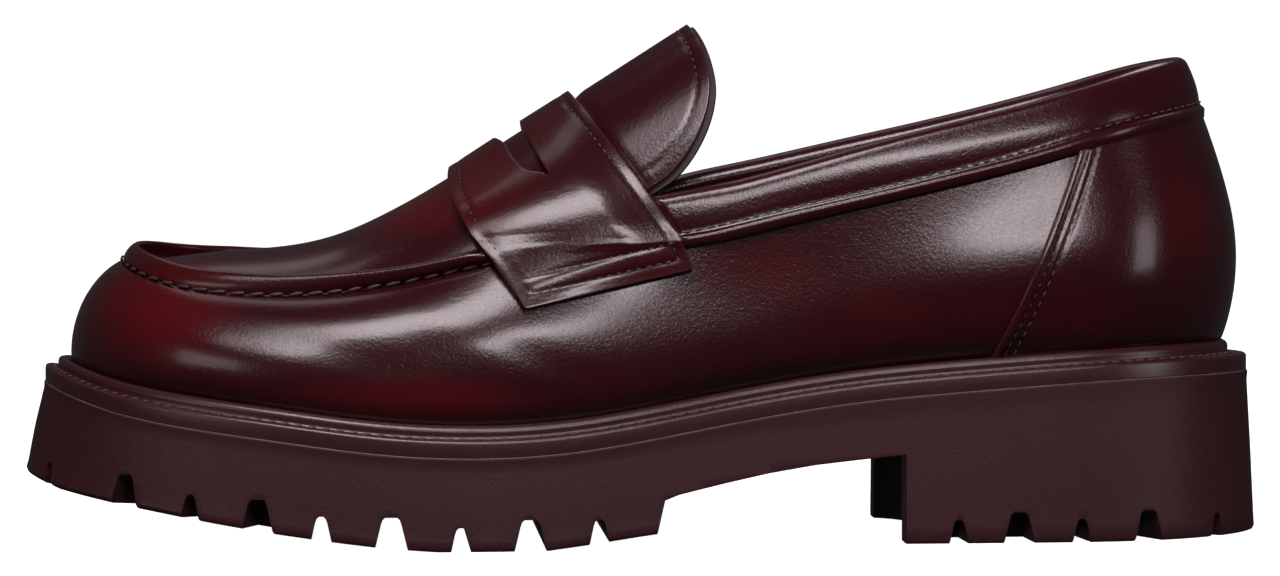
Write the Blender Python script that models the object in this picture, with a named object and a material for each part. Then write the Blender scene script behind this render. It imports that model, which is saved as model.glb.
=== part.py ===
"""Left slip-on loafer on a thick lug sole, as separate closed solids in metres.

The toe points to -X, the outer side of the foot to -Y and the floor is Z = 0.
Tables hold shares in percent: places along are of LAST_LENGTH from the toe, places
across are of BALL_WIDTH and heights are of COLLAR_HEIGHT above the floor.
"""
import math

import bmesh
import bpy
import numpy as np

MM = 0.001

# Sizes of the last
LAST_LENGTH = 266.5 * MM
BALL_WIDTH = 89.0 * MM
COLLAR_HEIGHT = 110.0 * MM
TOE_TO_MIDDLE = 131.8 * MM

# Thicknesses and clearances
WALL = 1.8 * MM
GAP = 0.3 * MM
STRAP_THICKNESS = 1.8 * MM
BAND_THICKNESS = 1.7 * MM
COUNTER_THICKNESS = 1.0 * MM
TONGUE_THICKNESS = 2.4 * MM
INSOLE_THICKNESS = 2.7 * MM

# Welt and sole
WELT_THICKNESS = 4.1 * MM
RIB_HEIGHT = 3.0 * MM
WELT_MARGIN = 6.0 * MM
HEEL_EXTRA_MARGIN = 1.4 * MM
SIDE_FLARE = 2.0 * MM
TOE_EXTRA_FLARE = 2.5 * MM
LUG_PITCH = 15.5 * MM
WIDE_NOTCH = {"bottom": 8.0 * MM, "top": 3.6 * MM, "height": 7.0 * MM}
NARROW_NOTCH = {"bottom": 5.0 * MM, "top": 1.8 * MM, "height": 5.4 * MM}
SIDE_NOTCH_DEPTH = 16.0 * MM
CUTTER_REACH = 12.0 * MM
CUTTER_BELOW = 6.0 * MM
CUTTER_HALF_WIDTH = 80.0 * MM
CHANNEL_WIDTH = 4.0 * MM
CHANNEL_HEIGHT = 4.0 * MM
CHANNEL_ACROSS = 17.0 * MM

# Moccasin seam
LIP_WIDTH = 4.8 * MM
LIP_HEIGHT = 3.6 * MM
LIP_FULL_UNTIL = 6.5
LIP_GONE_AT = 7.6

# Rows: toe apex, toe corner, toe side, vamp, vamp, ball, strap front, strap, strap,
# throat, strap back, waist, waist, quarter, quarter, heel side, heel corner, heel back
SECTION_COLUMNS = (
    "foot_along", "foot_out", "foot_in",
    "seam_along", "seam_out", "seam_in", "seam_height", "inner_rise",
    "turn", "bulge_out", "bulge_in",
)
SECTIONS = (
    (0.0, -5.1, 5.1, 4.5, -4.5, 4.5, 57.5, 0.0, 72, 0.3, 0.3),
    (1.5, 13.5, 23.0, 5.8, 12.9, 21.1, 55.5, 1.6, 72, 0.4, 0.4),
    (5.6, 29.6, 36.0, 9.2, 24.5, 30.3, 52.9, 2.9, 72, 0.9, 0.9),
    (11.3, 40.3, 44.3, 13.7, 30.6, 34.6, 51.4, 3.5, 74, 1.5, 1.3),
    (17.7, 46.3, 48.7, 19.1, 33.5, 36.6, 51.1, 3.5, 75, 2.0, 1.7),
    (24.5, 49.4, 50.2, 24.9, 35.7, 37.8, 52.3, 3.1, 75, 2.2, 1.8),
    (31.3, 50.2, 48.5, 30.7, 37.8, 38.5, 54.8, 2.7, 70, 2.2, 2.0),
    (37.8, 49.2, 44.0, 36.2, 39.3, 38.5, 57.8, 2.3, 60, 2.2, 2.2),
    (44.2, 46.6, 38.7, 42.0, 39.9, 37.8, 59.7, 1.8, 52, 2.2, 2.7),
    (50.0, 43.5, 34.6, 47.8, 39.4, 36.6, 60.8, 1.5, 45, 2.2, 3.1),
    (55.8, 40.0, 32.4, 54.0, 38.4, 35.5, 62.5, 1.1, 38, 2.2, 3.4),
    (62.0, 37.3, 31.3, 60.7, 37.1, 34.8, 66.2, 0.8, 34, 2.2, 3.4),
    (68.6, 35.3, 32.2, 68.2, 36.0, 34.6, 70.3, 0.5, 32, 2.5, 3.4),
    (75.7, 34.5, 33.1, 75.7, 35.1, 34.4, 74.5, 0.2, 30, 2.9, 3.4),
    (82.9, 33.7, 33.1, 82.7, 33.7, 33.5, 78.8, 0.0, 30, 3.4, 3.6),
    (89.8, 31.2, 30.9, 89.2, 30.6, 30.3, 83.4, 0.0, 30, 3.8, 3.9),
    (96.1, 20.9, 20.7, 95.0, 19.4, 19.3, 86.6, 0.0, 30, 4.2, 4.2),
    (100.0, 0.0, 0.0, 98.3, 0.0, 0.0, 88.1, 0.0, 30, 4.4, 4.4),
)

# Top line of apron and instep, from the toe back to behind the strap
RIDGE_COLUMNS = ("along", "across", "height", "rib_turn", "lean")
RIDGE = (
    (6.3, 4.5, 57.3, 30, 5),
    (7.9, 4.7, 57.8, 34, 6),
    (10.4, 5.2, 58.5, 40, 8),
    (14.0, 5.6, 59.4, 44, 10),
    (18.6, 5.6, 60.3, 48, 14),
    (23.3, 4.5, 62.9, 54, 22),
    (27.8, 2.8, 67.8, 60, 34),
    (32.0, 1.1, 73.6, 64, 48),
    (36.3, 0.3, 80.3, 67, 62),
    (40.6, 0.0, 87.0, 70, 72),
    (45.0, 0.0, 93.7, 71, 76),
    (49.3, 0.0, 100.5, 72, 78),
)

# Edge of the collar, from behind the strap to the back of the heel
TOPLINE_COLUMNS = ("along", "out", "in", "height", "inner_rise")
TOPLINE = (
    (52.8, 34.8, 33.1, 70.8, 2.0),
    (59.8, 33.9, 32.6, 74.7, 1.5),
    (67.5, 32.8, 32.1, 79.9, 0.5),
    (75.0, 31.2, 31.0, 84.5, 0.0),
    (81.9, 29.2, 29.0, 88.6, 0.0),
    (88.3, 25.1, 24.7, 93.0, 0.0),
    (93.4, 14.9, 14.8, 96.8, 0.0),
    (96.4, 0.0, 0.0, 98.4, 0.0),
)

# Upper edge of the welt and underside of the sole: place along, height
WELT_LINE = (
    (-3.1, 36.5), (3.3, 31.5), (10.4, 28.3), (17.9, 25.9), (26.2, 23.4),
    (34.4, 22.4), (42.7, 23.4), (50.6, 26.3), (58.8, 29.8), (67.1, 32.7),
    (75.0, 34.5), (84.0, 36.1), (93.4, 37.3), (103.1, 37.5),
)
SOLE_LINE = (
    (-5.3, 14.2), (-0.5, 10.9), (3.9, 9.1), (7.8, 7.6), (12.9, 5.5),
    (17.9, 3.6), (22.8, 2.0), (26.9, 0.8), (31.4, 0.0), (40.5, 0.0),
    (44.2, 1.1), (48.0, 2.4), (51.0, 3.3), (57.0, 3.3), (64.5, 0.0),
    (105.7, 0.0),
)
ARCH_LINE = (
    (50.5, 9.8), (51.7, 10.9), (55.6, 13.0), (59.4, 14.9), (63.3, 16.4),
    (67.2, 17.4), (71.2, 18.4),
)

# Along, in percent as above: the middle bar between the forefoot's lugs, and the pockets
# cut into the edge before the bars and along the heel
MIDDLE_BAR = 33.3
TOE_POCKETS = (16.3, 10.7, 5.2, -1.1)
HEEL_POCKETS = (75.7, 80.9, 86.3, 92.25, 98.7)

# Where the throat ends, and the shares of each rib where its points lie
THROAT = 9
LAST_ROW = 17
CORNER = 0.9
RIB_STEPS = (0.0, 0.1, 0.2, 0.31, 0.43, 0.55, 0.67, 0.79, CORNER, 1.0)
WALL_STEPS = (0.0, 0.16, 0.34, 0.54, 0.76, 1.0)
STEPS_PER_ROW = 3
SEAM = 1.0
LIP_END = 1.15

# Saddle strap from its foot on the wall up to the ridge: the levels and section rows
# where its front edge and its back edge lie
# Columns: front level, front row, back level, back row
STRAP = (
    (0.62, 7.25, 0.80, 9.75),
    (0.80, 7.10, 0.91, 9.72),
    (1.00, 6.95, 1.04, 9.70),
    (1.15, 6.92, 1.16, 9.68),
    (1.40, 6.98, 1.40, 9.67),
    (1.65, 7.12, 1.65, 9.67),
    (1.85, 7.25, 1.85, 9.67),
    (2.00, 7.30, 2.00, 9.67),
)
# Slot across the strap, from the ridge out: share of its reach, front and back shares
SLOT = (
    (0.0, 0.37, 0.60),
    (0.25, 0.395, 0.60),
    (0.50, 0.43, 0.592),
    (0.70, 0.437, 0.586),
    (0.84, 0.452, 0.582),
    (0.94, 0.487, 0.58),
    (1.0, 0.562, 0.578),
)
SLOT_LOWEST = 1.43

# Tongue
TONGUE_START = -35.0 * MM
TONGUE_TIP = 13.4 * MM
TONGUE_ROUNDING = 16.0 * MM
TONGUE_HALF_ANGLE = 62.0
TONGUE_WIDTH_RADIUS = 32.4 * MM
TONGUE_DEPTH_RADIUS = 48.6 * MM
TONGUE_DROP = WALL + GAP + 0.3 * MM
TONGUE_LOW_UNTIL = -26.0 * MM
TONGUE_UP_FROM = -15.0 * MM

BAND_START = 9.9
COUNTER_TOP_ROW = 14.56
COUNTER_FOOT_ROW = 13.4


def spline(knots, values, period=None):
    """Smooth cubic curve through the values; it joins up with itself over a period."""
    x = np.asarray(knots, float)
    y = np.asarray(values, float)
    if period is not None:
        x = np.append(x, x[0] + period)
        y = np.vstack([y, y[:1]])
    n = len(x)
    h = np.diff(x)
    slope = np.diff(y, axis=0) / h[:, None]
    a = np.zeros((n, n))
    b = np.zeros(y.shape)
    for i in range(1, n - 1):
        a[i, i - 1 : i + 2] = h[i - 1], 2 * (h[i - 1] + h[i]), h[i]
        b[i] = 6 * (slope[i] - slope[i - 1])
    a[0, 0] = 1
    if period is None:
        a[-1, -1] = 1
    else:
        a[0, -1] = -1
        a[-1, 0], a[-1, 1] = 2 * h[0], h[0]
        a[-1, -2], a[-1, -1] = h[-1], 2 * h[-1]
        b[-1] = 6 * (slope[0] - slope[-1])
    bend = np.linalg.solve(a, b)

    def at(t):
        if period is not None:
            t = x[0] + (t - x[0]) % period
        i = int(np.clip(np.searchsorted(x, t, side="right") - 1, 0, n - 2))
        p = (x[i + 1] - t) / h[i]
        q = 1 - p
        curve = (p**3 - p) * bend[i] + (q**3 - q) * bend[i + 1]
        return p * y[i] + q * y[i + 1] + curve * h[i] ** 2 / 6

    return at


def columns(names, rows):
    return dict(zip(names, np.array(rows, float).T))


def along(share):
    return share / 100 * LAST_LENGTH - TOE_TO_MIDDLE


def across(share):
    return share / 100 * BALL_WIDTH


def height(share):
    return share / 100 * COLLAR_HEIGHT


def unit(vector):
    return vector / np.linalg.norm(vector)


def smoothstep(low, high, value):
    t = min(max((value - low) / (high - low), 0.0), 1.0)
    return t * t * (3 - 2 * t)


def ring_rows():
    """One row per place round the last: outer side from the toe, then inner side back."""
    s = columns(SECTION_COLUMNS, SECTIONS)
    rows = []
    for ring in range(2 * LAST_ROW):
        outer = ring <= LAST_ROW
        i = ring if outer else 2 * LAST_ROW - ring
        side = -1 if outer else 1
        name = "out" if outer else "in"
        rise = 0.0 if outer else s["inner_rise"][i]
        rows.append((
            along(s["foot_along"][i]),
            side * across(s["foot_" + name][i]),
            along(s["seam_along"][i]),
            side * across(s["seam_" + name][i]),
            height(s["seam_height"][i] + rise),
            s["turn"][i],
            across(s["bulge_" + name][i]),
        ))
    return rows


RINGS = 2 * LAST_ROW
ring_curve = spline(range(RINGS), ring_rows(), RINGS)
ridge_table = columns(RIDGE_COLUMNS, RIDGE)
ridge_curve = spline(
    range(len(RIDGE)),
    np.stack([
        along(ridge_table["along"]),
        across(ridge_table["across"]),
        height(ridge_table["height"]),
        ridge_table["rib_turn"],
        ridge_table["lean"],
    ], axis=1),
)


def line_through(rows):
    table = np.array(rows, float)
    return spline(along(table[:, 0]), height(table[:, 1:2]))


welt_curve = line_through(WELT_LINE)


def deck(x):
    """Height of the outsole's upper face."""
    return float(welt_curve(x)[0]) - WELT_THICKNESS


def crest(x):
    """Height where the wall leaves the top of the storm welt."""
    return float(welt_curve(x)[0]) + RIB_HEIGHT


def underside(x):
    table = np.array(SOLE_LINE)
    return float(np.interp(x, along(table[:, 0]), height(table[:, 1])))


def row_of(ring):
    """Row of the section table, whichever side the place is on."""
    ring = ring % RINGS
    return ring if ring <= LAST_ROW else RINGS - ring


def outward(ring, first):
    """Level direction away from the foot, square to the foot line (0) or seam line (2)."""
    ahead = ring_curve(ring + 0.05)
    behind = ring_curve(ring - 0.05)
    step = ahead[first : first + 2] - behind[first : first + 2]
    return unit(np.array([step[1], -step[0]]))


def wall_point(ring, level):
    """Point of the side wall, from the storm welt (0) up to the seam line (1)."""
    r = ring_curve(ring)
    foot, seam, top = r[0:2], r[2:4], r[4]
    turn = math.radians(r[5])
    angle = level * turn
    inset = (1 - math.cos(angle)) / (1 - math.cos(turn))
    rise = math.sin(angle) / math.sin(turn)
    bulge = r[6] * math.sin(math.pi * max(rise, 0.0) ** 0.8)
    plan = foot + (seam - foot) * inset + outward(ring, 0) * bulge
    low = crest(foot[0])
    return np.array([plan[0], plan[1], low + (top - low) * rise])


def seam_frame(ring):
    """Seam point, direction across the seam towards the apron, and the way it stands up."""
    t = row_of(ring)
    r = ring_curve(ring)
    slope = ridge_curve(t + 0.05)[:3] - ridge_curve(t - 0.05)[:3]
    up = unit(np.array([-slope[2], 0.0, slope[0]]))
    out = outward(ring, 2)
    out = np.array([out[0], out[1], 0.0])
    lean = math.radians(ridge_curve(t)[4])
    inward = unit(-math.cos(lean) * out + math.sin(lean) * up)
    stand = unit(math.sin(lean) * out + math.cos(lean) * up)
    return r[2:5].copy(), inward, stand


def lip_end(ring):
    seam, inward, _ = seam_frame(ring)
    return seam + LIP_WIDTH * inward


def rib_point(ring, share):
    """Point of the apron and instep, from the ridge (0) out to the lip (1)."""
    r = ridge_curve(row_of(ring))
    end = lip_end(ring) - r[:3]
    turn = math.radians(r[3])
    angle = share * turn
    sideways = math.sin(angle) / math.sin(turn)
    down = (1 - math.cos(angle)) / (1 - math.cos(turn))
    return r[:3] + np.array([end[0] * down, end[1] * sideways, end[2] * down])


def topline_rows():
    """Edge of the collar from the throat's outer corner round the heel to its inner one."""
    table = columns(TOPLINE_COLUMNS, TOPLINE)
    rows = [rib_point(THROAT, CORNER)]
    for ring in range(THROAT + 1, RINGS - THROAT):
        outer = ring <= LAST_ROW
        i = (ring if outer else RINGS - ring) - THROAT - 1
        side = -1 if outer else 1
        rise = 0.0 if outer else table["inner_rise"][i]
        rows.append((
            along(table["along"][i]),
            side * across(table["out" if outer else "in"][i]),
            height(table["height"][i] + rise),
        ))
    rows.append(rib_point(RINGS - THROAT, CORNER))
    return rows


topline_curve = spline(range(THROAT, RINGS - THROAT + 1), topline_rows())


def collar_point(ring, share):
    """Point of the collar zone, from the seam line (0) up to the top edge (1).

    Beside the throat it lies on the instep's ribs, where the strap crosses it.
    """
    seam = ring_curve(ring)[2:5]
    edge = topline_curve(ring)
    out = outward(ring, 2)
    swell = 0.6 * MM * math.sin(math.pi * share)
    free = seam + (edge - seam) * share + np.array([out[0], out[1], 0.0]) * swell
    freed = smoothstep(THROAT + 0.67, THROAT + 1.67, row_of(ring))
    if freed == 1:
        return free
    if share < 0.5:
        on_rib = seam + (lip_end(ring) - seam) * share / 0.5
    else:
        on_rib = rib_point(ring, 1 - (1 - CORNER) * (share - 0.5) / 0.5)
    return on_rib + (free - on_rib) * freed


def front_point(ring, level):
    """Upper's outer face ahead of the collar: wall, then lip strip, then rib."""
    if level <= SEAM:
        return wall_point(ring, level)
    if level <= LIP_END:
        seam, inward, _ = seam_frame(ring)
        return seam + LIP_WIDTH * inward * (level - SEAM) / (LIP_END - SEAM)
    return rib_point(ring, 1 - (level - LIP_END) / (2 - LIP_END))


def back_point(ring, level):
    """Upper's outer face behind the throat: wall, then collar zone."""
    if level <= SEAM:
        return wall_point(ring, level)
    return collar_point(ring, level - SEAM)


def raised(point, ring, level, offset):
    """Point at this distance outside the face."""
    here = point(ring, level)
    side = point(ring + 0.08, level) - point(ring - 0.08, level)
    rise = point(ring, min(level + 0.03, 2.0)) - point(ring, max(level - 0.03, 0.0))
    return here + unit(np.cross(side, rise)) * offset


class Sheet:
    """Points by name and the faces between them."""

    def __init__(self):
        self.points = {}
        self.faces = []

    def add(self, key, point):
        self.points[key] = np.asarray(point, float)
        return key

    def face(self, *keys):
        kept = [k for i, k in enumerate(keys) if k != keys[i - 1]]
        if len(kept) > 2:
            self.faces.append(tuple(kept))

    def strip(self, first, second):
        for i in range(len(first) - 1):
            self.face(first[i], first[i + 1], second[i + 1], second[i])

    def normals(self):
        total = {key: np.zeros(3) for key in self.points}
        for face in self.faces:
            p = [self.points[key] for key in face]
            area = sum(np.cross(p[i] - p[0], p[i + 1] - p[0]) for i in range(1, len(p) - 1))
            for key in face:
                total[key] += area
        return {key: unit(n) if np.linalg.norm(n) > 0 else n for key, n in total.items()}

    def edges(self):
        """Edges that only one face uses, as that face runs."""
        seen = {}
        for face in self.faces:
            for i, key in enumerate(face):
                pair = (face[i - 1], key)
                seen.setdefault(frozenset(pair), []).append(pair)
        return [pairs[0] for pairs in seen.values() if len(pairs) == 1]


def thickened(sheet, depth, outer=None):
    """Closed solid between the sheet and its copy at this depth behind it."""
    normals = sheet.normals()
    solid = Sheet()
    front = outer or sheet
    for key, point in front.points.items():
        solid.add(("front", key), point)
    for key, point in sheet.points.items():
        solid.add(("behind", key), point - normals[key] * depth)
    for face in front.faces:
        solid.face(*[("front", key) for key in face])
    for face in sheet.faces:
        solid.face(*[("behind", key) for key in reversed(face)])
    for a, b in sheet.edges():
        solid.face(("front", b), ("front", a), ("behind", a), ("behind", b))
    return solid


def material(name, colour, roughness):
    made = bpy.data.materials.new(name)
    made.use_nodes = True
    shader = made.node_tree.nodes["Principled BSDF"]
    shader.inputs["Base Color"].default_value = (*colour, 1)
    shader.inputs["Roughness"].default_value = roughness
    return made


def make_object(name, sheet, look=None):
    used = sorted({key for face in sheet.faces for key in face}, key=repr)
    number = {key: i for i, key in enumerate(used)}
    mesh = bpy.data.meshes.new(name)
    mesh.from_pydata(
        [tuple(sheet.points[key]) for key in used],
        [],
        [tuple(number[key] for key in face) for face in sheet.faces],
    )
    made = bmesh.new()
    made.from_mesh(mesh)
    bmesh.ops.recalc_face_normals(made, faces=made.faces)
    made.to_mesh(mesh)
    made.free()
    mesh.shade_smooth()
    mesh.set_sharp_from_angle(angle=math.radians(35))
    thing = bpy.data.objects.new(name, mesh)
    bpy.context.scene.collection.objects.link(thing)
    if look:
        mesh.materials.append(look)
    return thing


def cut(thing, name, sheet):
    cutter = make_object(name, sheet)
    cutter.hide_render = True
    cutter.display_type = "WIRE"
    boolean = thing.modifiers.new(name, "BOOLEAN")
    boolean.operation = "DIFFERENCE"
    boolean.object = cutter
    return cutter


stations = [i / STEPS_PER_ROW for i in range(RINGS * STEPS_PER_ROW)]
half = LAST_ROW * STEPS_PER_ROW
throat_step = THROAT * STEPS_PER_ROW


def mirrored(i):
    return (len(stations) - i) % len(stations)


def upper_sheets():
    """The upper's outer face without and with the raised lip of the moccasin seam."""
    plain = Sheet()
    for i, ring in enumerate(stations):
        foot = wall_point(ring, 0.0)
        plain.add(("wall", i, 0), (foot[0], foot[1], deck(foot[0]) + GAP))
        for k, level in enumerate(WALL_STEPS):
            plain.add(("wall", i, k + 1), wall_point(ring, level))
    for i in range(len(stations)):
        j = (i + 1) % len(stations)
        for k in range(len(WALL_STEPS)):
            plain.face(("wall", i, k), ("wall", j, k), ("wall", j, k + 1), ("wall", i, k + 1))
    top = len(WALL_STEPS)
    ribs = []
    for i in range(throat_step + 1):
        t = i / STEPS_PER_ROW
        rib = []
        for side, ring, own in ((0, t, i), (1, RINGS - t, mirrored(i))):
            part = []
            for k, share in enumerate(RIB_STEPS):
                last = len(RIB_STEPS) - 1
                key = ("rib", own, k) if k == last or k == last - 1 else ("rib", i, side, k)
                if k == 0:
                    key = ("ridge", i)
                if i == 0:
                    key = ("rib", 0, last)
                part.append(plain.add(key, rib_point(ring, share)))
            rib.append(part)
        ribs.append(rib[0][::-1] + rib[1][1:])
    for first, second in zip(ribs, ribs[1:]):
        plain.strip(second, first)
    last = len(RIB_STEPS) - 1
    for i in range(throat_step + 1, mirrored(throat_step)):
        plain.add(("collar", i, 1), collar_point(stations[i], 0.5))
        plain.add(("collar", i, 2), collar_point(stations[i], 1.0))

    def collar_key(i, k):
        if i in (throat_step, mirrored(throat_step)):
            return ("rib", i, last + 1 - k)
        return ("collar", i, k)

    for i in range(throat_step, mirrored(throat_step)):
        a, b = ("wall", i, top), ("wall", i + 1, top)
        for k in (1, 2):
            c, d = collar_key(i, k), collar_key(i + 1, k)
            plain.face(a, b, d, c)
            a, b = c, d

    lipped = Sheet()
    lipped.points = dict(plain.points)
    lipped.faces = list(plain.faces)
    front = [mirrored(throat_step - i) for i in range(throat_step)] + list(range(throat_step + 1))
    for i in front:
        ring = stations[i]
        seam, inward, stand = seam_frame(ring)
        tall = LIP_HEIGHT * (1 - smoothstep(LIP_FULL_UNTIL, LIP_GONE_AT, row_of(ring)))
        if i in (throat_step, mirrored(throat_step)):
            continue
        lipped.add(("lip", i, 1), seam + inward * 0.35 * LIP_WIDTH + stand * tall)
        lipped.add(("lip", i, 2), seam + inward * 0.85 * LIP_WIDTH + stand * tall)
    for i, j in zip(front, front[1:]):
        a, b = ("wall", i, top), ("wall", j, top)
        c, d = ("rib", i, last), ("rib", j, last)
        plain.face(a, b, d, c)
        at_i = [("lip", i, 1), ("lip", i, 2)] if ("lip", i, 1) in lipped.points else []
        at_j = [("lip", j, 1), ("lip", j, 2)] if ("lip", j, 1) in lipped.points else []
        if at_i and at_j:
            lipped.face(a, b, at_j[0], at_i[0])
            lipped.face(at_i[0], at_j[0], at_j[1], at_i[1])
            lipped.face(at_i[1], at_j[1], d, c)
        else:
            lipped.face(a, b, *at_j, d, c, *reversed(at_i))
    return plain, lipped


def patch(point, offset, rows):
    """Sheet from rows of (ring, level) places on the upper, this far outside it."""
    sheet = Sheet()
    for i, row in enumerate(rows):
        for k, place in enumerate(row):
            lift = offset(*place) if callable(offset) else offset
            sheet.add((i, k), raised(point, place[0], place[1], lift))
    for i in range(len(rows) - 1):
        for k in range(len(rows[0]) - 1):
            sheet.face((i, k), (i + 1, k), (i + 1, k + 1), (i, k + 1))
    return sheet


def strap_lift(ring, level):
    """The strap rides over the end of the lip."""
    tall = LIP_HEIGHT * (1 - smoothstep(LIP_FULL_UNTIL, LIP_GONE_AT, row_of(ring)))
    near = smoothstep(0.86, 0.97, level) * (1 - smoothstep(LIP_END, 1.34, level))
    return GAP + tall * near + STRAP_THICKNESS


strap_curve = spline(range(len(STRAP)), STRAP)


def strap_place(share, way):
    """Place on the upper: share 0 front to 1 back, way -1 outer foot to 1 inner foot."""
    low, front, high, back = strap_curve((1 - abs(way)) * (len(STRAP) - 1))
    row = front + (back - front) * share
    level = min(low + (high - low) * share, 2.0)
    return (row if way < 0 else RINGS - row, level)


def strap_sheet():
    ways = np.linspace(-1, 1, 29)
    shares = np.linspace(0, 1, 9)
    sheet = Sheet()
    for i, way in enumerate(ways):
        for k, share in enumerate(shares):
            sheet.add((i, k), strap_top(share, way, STRAP_THICKNESS))
    for i in range(len(ways) - 1):
        for k in range(len(shares) - 1):
            sheet.face((i, k), (i, k + 1), (i + 1, k + 1), (i + 1, k))
    return sheet


def strap_top(share, way, above):
    """Point this far above the strap's underside."""
    if abs(way) < 1e-9:
        return (strap_top(share, -1e-6, above) + strap_top(share, 1e-6, above)) / 2
    ring, level = strap_place(share, way)
    lift = strap_lift(ring, level) - STRAP_THICKNESS + above
    level = min(level, 1.9999)
    return raised(front_point, ring, level, lift)


def slot_sheet():
    """Cutter for the slot: a bar that runs over the instep through the strap."""
    table = spline(
        [row[0] for row in SLOT],
        [row[1:] for row in SLOT],
    )
    lowest = next(
        w for w in np.linspace(0.0, 1.0, 400)
        if strap_curve((1 - w) * (len(STRAP) - 1))[0] < SLOT_LOWEST
    )
    sheet = Sheet()
    ways = np.linspace(-1, 1, 25)
    for i, way in enumerate(ways):
        front, back = table(abs(way))
        for k, (share, above) in enumerate((
            (front, -1.5 * MM), (back, -1.5 * MM),
            (back, STRAP_THICKNESS + 2 * MM), (front, STRAP_THICKNESS + 2 * MM),
        )):
            sheet.add((i, k), strap_top(share, way * lowest, above))
    for i in range(len(ways) - 1):
        for k in range(4):
            m = (k + 1) % 4
            sheet.face((i, k), (i, m), (i + 1, m), (i + 1, k))
    sheet.face((0, 0), (0, 1), (0, 2), (0, 3))
    last = len(ways) - 1
    sheet.face((last, 3), (last, 2), (last, 1), (last, 0))
    return sheet


def tongue_sheet():
    """Tongue: the instep's rib shape carried on past the throat to a rounded end."""
    start = ridge_curve(THROAT)[:3]
    forward = unit(ridge_curve(THROAT + 2)[:3] - start)
    down = np.array([forward[2], 0.0, -forward[0]])
    zero = ridge_curve(THROAT + 2)[:3]
    zero = zero + forward * (0.6 * MM)
    sheet = Sheet()
    ways = np.linspace(-1, 1, 17)
    shares = np.linspace(0, 1, 8)
    for i, way in enumerate(ways):
        angle = math.radians(TONGUE_HALF_ANGLE) * way
        end = TONGUE_TIP - TONGUE_ROUNDING * abs(way) ** 4
        for k, share in enumerate(shares):
            reach = TONGUE_START + (end - TONGUE_START) * share
            drop = TONGUE_DROP * (1 - smoothstep(TONGUE_LOW_UNTIL, TONGUE_UP_FROM, reach))
            depth = TONGUE_DEPTH_RADIUS * (1 - math.cos(angle))
            side = TONGUE_WIDTH_RADIUS * math.sin(angle)
            lean = unit(np.array([0.0, math.sin(angle), 0.0]) - down * math.cos(angle))
            point = zero + forward * reach + down * depth - lean * drop
            sheet.add((i, k), point + np.array([0.0, side, 0.0]))
    for i in range(len(ways) - 1):
        for k in range(len(shares) - 1):
            sheet.face((i, k), (i, k + 1), (i + 1, k + 1), (i + 1, k))
    return sheet


def band_sheet():
    """Collar band folded over the top edge, as a section carried round the heel."""
    rings = [ring for ring in stations if BAND_START <= ring <= RINGS - BAND_START]
    outer = GAP + BAND_THICKNESS
    inner = -WALL - GAP
    sheet = Sheet()
    for i, ring in enumerate(rings):
        edge = back_point(ring, 2.0)
        up = unit(edge - back_point(ring, 1.94))
        out = (raised(back_point, ring, 2.0, MM) - edge) / MM
        section = [
            raised(back_point, ring, 1.02, GAP),
            raised(back_point, ring, 1.02, outer),
            raised(back_point, ring, 1.5, outer),
            raised(back_point, ring, 1.95, outer),
            edge + out * (outer - 0.8 * MM) + up * (GAP + 1.2 * MM),
            edge + out * (inner - BAND_THICKNESS + 1.2 * MM) + up * (GAP + 1.2 * MM),
            raised(back_point, ring, 1.95, inner - BAND_THICKNESS),
            raised(back_point, ring, 1.45, inner - BAND_THICKNESS),
            raised(back_point, ring, 1.45, inner),
            edge + out * inner + up * GAP,
            edge + out * GAP + up * GAP,
            raised(back_point, ring, 1.5, GAP),
        ]
        for k, point in enumerate(section):
            sheet.add((i, k), point)
    count = len(section)
    for i in range(len(rings) - 1):
        for k in range(count):
            m = (k + 1) % count
            sheet.face((i, k), (i, m), (i + 1, m), (i + 1, k))
    for i in (0, len(rings) - 1):
        for a, b, c, d in ((0, 1, 2, 11), (11, 2, 3, 10), (9, 6, 7, 8)):
            sheet.face((i, a), (i, b), (i, c), (i, d))
        sheet.face((i, 3), (i, 4), (i, 5), (i, 6), (i, 9), (i, 10))
    return sheet


def counter_sheet():
    """Heel counter laid on the upper from one side seam round the heel to the other."""
    rows = []
    whole = [ring for ring in stations if 15 <= ring <= RINGS - 15]
    for level in (0.03, *WALL_STEPS[1:-1], 0.965):
        start = COUNTER_FOOT_ROW + (COUNTER_TOP_ROW - COUNTER_FOOT_ROW) * level
        front = list(np.linspace(start, 15, 4)[:-1])
        rings = front + whole + [RINGS - ring for ring in reversed(front)]
        rows.append([(ring, level) for ring in rings])
    sheet = patch(back_point, GAP + COUNTER_THICKNESS, rows)
    sheet.faces = [tuple(reversed(face)) for face in sheet.faces]
    return sheet


def edge_ring(ring, offset):
    """Plan point this far outside the foot line, and which way is out."""
    r = ring_curve(ring)
    out = outward(ring, 0)
    return r[0:2] + out * offset, out


def margin(out):
    return WELT_MARGIN + HEEL_EXTRA_MARGIN * max(out[0], 0.0) ** 2


def flare(out):
    return SIDE_FLARE + TOE_EXTRA_FLARE * max(-out[0], 0.0) ** 2


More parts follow.
